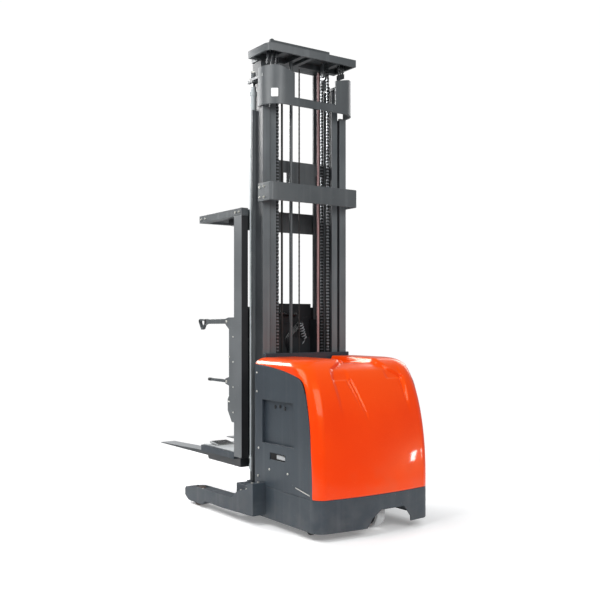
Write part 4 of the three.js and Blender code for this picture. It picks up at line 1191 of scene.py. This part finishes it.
# %% Guard lamp and bolts
lamp_low, lamp_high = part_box("guard_lamp")
lens = Form()
lens.plate(rectangle(lamp_low.x + 0.014, lamp_low.y + 0.018, lamp_high.x - 0.014, lamp_high.y - 0.018),
           lamp_low.z - 0.004, lamp_low.z + 0.004, "z")
lens.make("lamp_lens", "cab", "case_black", finish=LENS, bevel=0.002)
guard_low, guard_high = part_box("overhead_guard")
guard_bolts = Form()
for out in (-1, 1):
    for y in (guard_low.y + 0.04, guard_low.y + 0.10, guard_high.y - 0.10, guard_high.y - 0.03):
        guard_bolts.bolt((out * POST_SIDE, y, 2.365), (out, 0, 0), 0.008)
        guard_bolts.bolt((out * 0.430, y, guard_high.z - 0.0002), (0, 0, 1), 0.007)
guard_bolts.make("guard_bolts", "cab", "steel", finish=ZINC)

# %% Foot pad ribs
pedal_low, pedal_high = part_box("presence_pedal")
pad_ribs = Form()
for row in range(8):
    share = (row + 0.5) / 8
    y = pedal_low.y + share * (pedal_high.y - pedal_low.y)
    z = pedal_low.z + 0.012 + share * 0.014
    pad_ribs.plate(rectangle(pedal_low.x + 0.012, y - 0.004, pedal_high.x - 0.012, y + 0.004),
                   z - 0.001, z + 0.0022, "z")
pad_ribs.make("foot_pad_ribs", "pedal", "rubber", bevel=0.001)

# %% [markdown]
# ## Power unit details
#
# The side covers are held by a few screws, the moulded pocket has three small studs near its top, and a short
# kick strip with a bright end sits low on the left cover.

# %% Side cover fixings
fixings = Form()
for y_from_rear, z in ((0.790, 0.560), (0.640, 0.420), (0.400, 0.420), (0.800, 0.350), (0.815, 1.120),
                       (0.815, 0.980)):
    fixings.bolt((-HOOD_HALF + 0.0002, HOOD_REAR + y_from_rear, z), (-1, 0, 0), 0.0065)
    fixings.bolt((HOOD_HALF - 0.0002, HOOD_REAR + y_from_rear, z), (1, 0, 0), 0.0065)
fixings.make("cover_screws", "chassis", "steel", finish=ZINC)
studs = Form()
pocket_floor = -HOOD_HALF + 0.026
for y_from_rear, z in ((0.600, 0.878), (0.535, 0.886), (0.470, 0.876)):
    for out, floor in ((-1, pocket_floor), (1, -pocket_floor)):
        studs.turned([(CORE, 0), (0.013, 0), (0.013, 0.004), (0.010, 0.006), (CORE, 0.006)],
                     (floor, HOOD_REAR + y_from_rear, z), (out, 0, 0), 24)
studs.make("pocket_studs", "chassis", "case_black")
strip = Form()
strip.plate([(HOOD_REAR + 0.300, 0.336), (HOOD_REAR + 0.128, 0.3060), (HOOD_REAR + 0.128, 0.3130),
             (HOOD_REAR + 0.300, 0.3415)],
            -HOOD_HALF - 0.0035, -HOOD_HALF + 0.0005, "x")
strip.make("kick_strip", "chassis", "steel", finish=ZINC, bevel=0.001)

# %% Leg, mast and skirt bolts
frame_bolts = Form()
for side, out in SIDES:
    for y_from_rear in (0.75, 0.83, 0.91):
        for x in (0.54, 0.593):
            spot, normal = seat(f"straddle_leg_{side}", (out * x, HOOD_REAR + y_from_rear, 1.0), (0, 0, -1))
            frame_bolts.bolt(spot, normal, 0.009)
    wheel_middle = middle_of(f"load_wheel_{side}")
    for y in (-0.05, 0.05):
        spot, normal = seat(f"straddle_leg_{side}", (out * 0.61, wheel_middle.y + y * 2.4, 1.0), (0, 0, -1))
        frame_bolts.bolt(spot, normal, 0.006)
frame_bolts.make("leg_bolts", "chassis", "steel", finish=ZINC)

beam_low, beam_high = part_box("outer_crossbeam")
beam_bolts = Form()
for out in (-1, 1):
    for z in (beam_low.z + 0.03, beam_high.z - 0.03):
        for y in (beam_high.y - 0.025, beam_high.y - 0.085):
            beam_bolts.bolt((out * (beam_high.x - 0.0002), y, z), (out, 0, 0), 0.009)
beam_bolts.make("crossbeam_bolts", "chassis", "steel", finish=ZINC)

# %% [markdown]
# ## Lift cylinders and stage heads
#
# Each cylinder has a gland nut at its top, drawn without its spanner slots, and a port with an elbow at its
# foot. At the yoke a nut holds each rod, and the chains end in threaded anchors with double nuts.

# %% Cylinder fittings
for side, out in SIDES:
    low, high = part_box(f"lift_cylinder_{side}")
    centre = Vector(((low.x + high.x) / 2, (low.y + high.y) / 2, 0))
    radius = (high.x - low.x) / 2
    fit = Form()
    fit.turned([(radius - 0.001, 0), (radius + 0.004, 0.001), (radius + 0.004, 0.020),
                (radius - 0.001, 0.022)],
               centre + Vector((0, 0, low.z + 0.10)), (0, 0, 1), 40)
    fit.turned([(radius - 0.001, 0), (radius + 0.0035, 0.002), (radius + 0.0035, 0.030),
                (radius - 0.001, 0.033)],
               centre + Vector((0, 0, high.z - 0.074)), (0, 0, 1), 40)
    port = centre + Vector((0, radius - 0.003, low.z + 0.055))
    fit.tube([port, port + Vector((0, 0.012, 0))], 0.011, 6)
    elbow = catmull(np.array([port + Vector((0, 0.010, 0)), port + Vector((0, 0.020, -0.003)),
                              port + Vector((0, 0.024, -0.016)), port + Vector((0, 0.024, -0.045))]), 6)
    fit.tube(elbow, 0.0075, 12)
    fit.make(f"cylinder_fittings_{side}", "chassis", "cylinder")
    stage = Form()
    yoke_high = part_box("middle_yoke")[1].z
    stage.tube([(centre.x, centre.y, 3.395), (centre.x, centre.y, 3.412)], 0.027, 6)
    stage.tube([(centre.x, centre.y, yoke_high - 0.002), (centre.x, centre.y, yoke_high + 0.012)], 0.018, 6)
    for y in (0.90, 0.98):
        stage.bolt((out * 0.345, HOOD_REAR + y, 3.3945), (0, 0, 1), 0.009)
    stage.make(f"yoke_nuts_{side}", "middle_stage", "steel", finish=ZINC)

# %% Pale patch on the yoke, painted where the backdrop's light shows through its hole
spot, normal = seat("middle_yoke", (-1.0, HOOD_REAR + 0.535, 3.240), (1.0, 0.42, 0))
print("plate faces", tuple(round(part, 2) for part in normal))
upright = Vector((0, 0, 1))
sideways = upright.cross(normal).normalized()
# The patch is painted near white to stand in for the bright backdrop seen through the yoke's hole: painted light.
backdrop_patch = Form()
outline = [(-0.023, -0.032), (0.023, -0.032), (0.027, -0.028), (0.027, 0.028), (0.023, 0.032),
           (-0.023, 0.032),
           (-0.027, 0.028), (-0.027, -0.028)]
corners = [spot + a * sideways + b * upright + out * normal for out in (-0.010, 0.003) for a, b in outline]
backdrop_patch.add(corners, [tuple(reversed(range(8))), tuple(range(8, 16))]
          + [(i, (i + 1) % 8, (i + 1) % 8 + 8, i + 8) for i in range(8)])
backdrop_patch.make("backdrop_light_patch", "middle_stage", "mast", finish=PALE_BACKDROP_PATCH, bevel=0.0008)

# %% Head plate fittings
head = Form()
for x in (-0.36, -0.20, 0.10, 0.20, 0.36):
    for y in (0.830, 1.060):
        head.bolt((x, HOOD_REAR + y, 3.6148), (0, 0, 1), 0.010)
for out in (-1, 1):
    for k, x in enumerate((0.300, 0.330, 0.360)):
        y = HOOD_REAR + 0.88 + 0.012 * k
        head.tube([(out * x, y, 3.47 + 0.014 * k), (out * x, y, 3.602)], 0.0075, 10)
        head.tube([(out * x, y, 3.53), (out * x, y, 3.543)], 0.014, 6)
        head.tube([(out * x, y, 3.546), (out * x, y, 3.556)], 0.014, 6)
        head.plate(rectangle(y - 0.011, 3.452 + 0.014 * k, y + 0.011, 3.488 + 0.014 * k),
                   out * x - 0.010, out * x + 0.010, "x")
head.make("head_anchors", "inner_stage", "frame_black")

# %% [markdown]
# ## Under the hood
#
# When the hood is up, the battery shows its cell tops, link bars and the heavy plug. They are simple, because
# they are seen through a gap, but they are not plain blocks.

# %% Battery top
battery_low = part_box("battery_pack")[0]
cells = Form()
links = Form()
lid_top = 0.820
for row in range(3):
    for column in range(8):
        x = -0.34 + column * 0.097
        y = battery_low.y + 0.075 + row * 0.138
        if abs(y - (HOOD_REAR + 0.586)) < 0.05:
            continue
        cells.turned([(CORE, 0), (0.022, 0), (0.022, 0.010), (0.017, 0.014), (CORE, 0.014)],
                     (x, y, lid_top), (0, 0, 1), 20)
        links.plate(rectangle(x + 0.026, y - 0.010, x + 0.070, y + 0.010),
                    lid_top, lid_top + 0.006, "z")
cells.make("cell_caps", "chassis", "case_black")
links.make("cell_links", "chassis", "steel", bevel=0.001)
power = Form()
for out in (-1, 1):
    route = catmull(np.array([(out * 0.30, battery_low.y + 0.35, 0.822),
                              (out * 0.31, battery_low.y + 0.33, 0.850),
                              (out * 0.28, battery_low.y + 0.22, 0.856), (out * 0.24, battery_low.y + 0.16,
                                                                          0.868),
                              (out * 0.215, battery_low.y + 0.16, 0.885)]), 10)
    power.tube(route, 0.009, 12)
power.make("battery_leads", "chassis", "rubber")
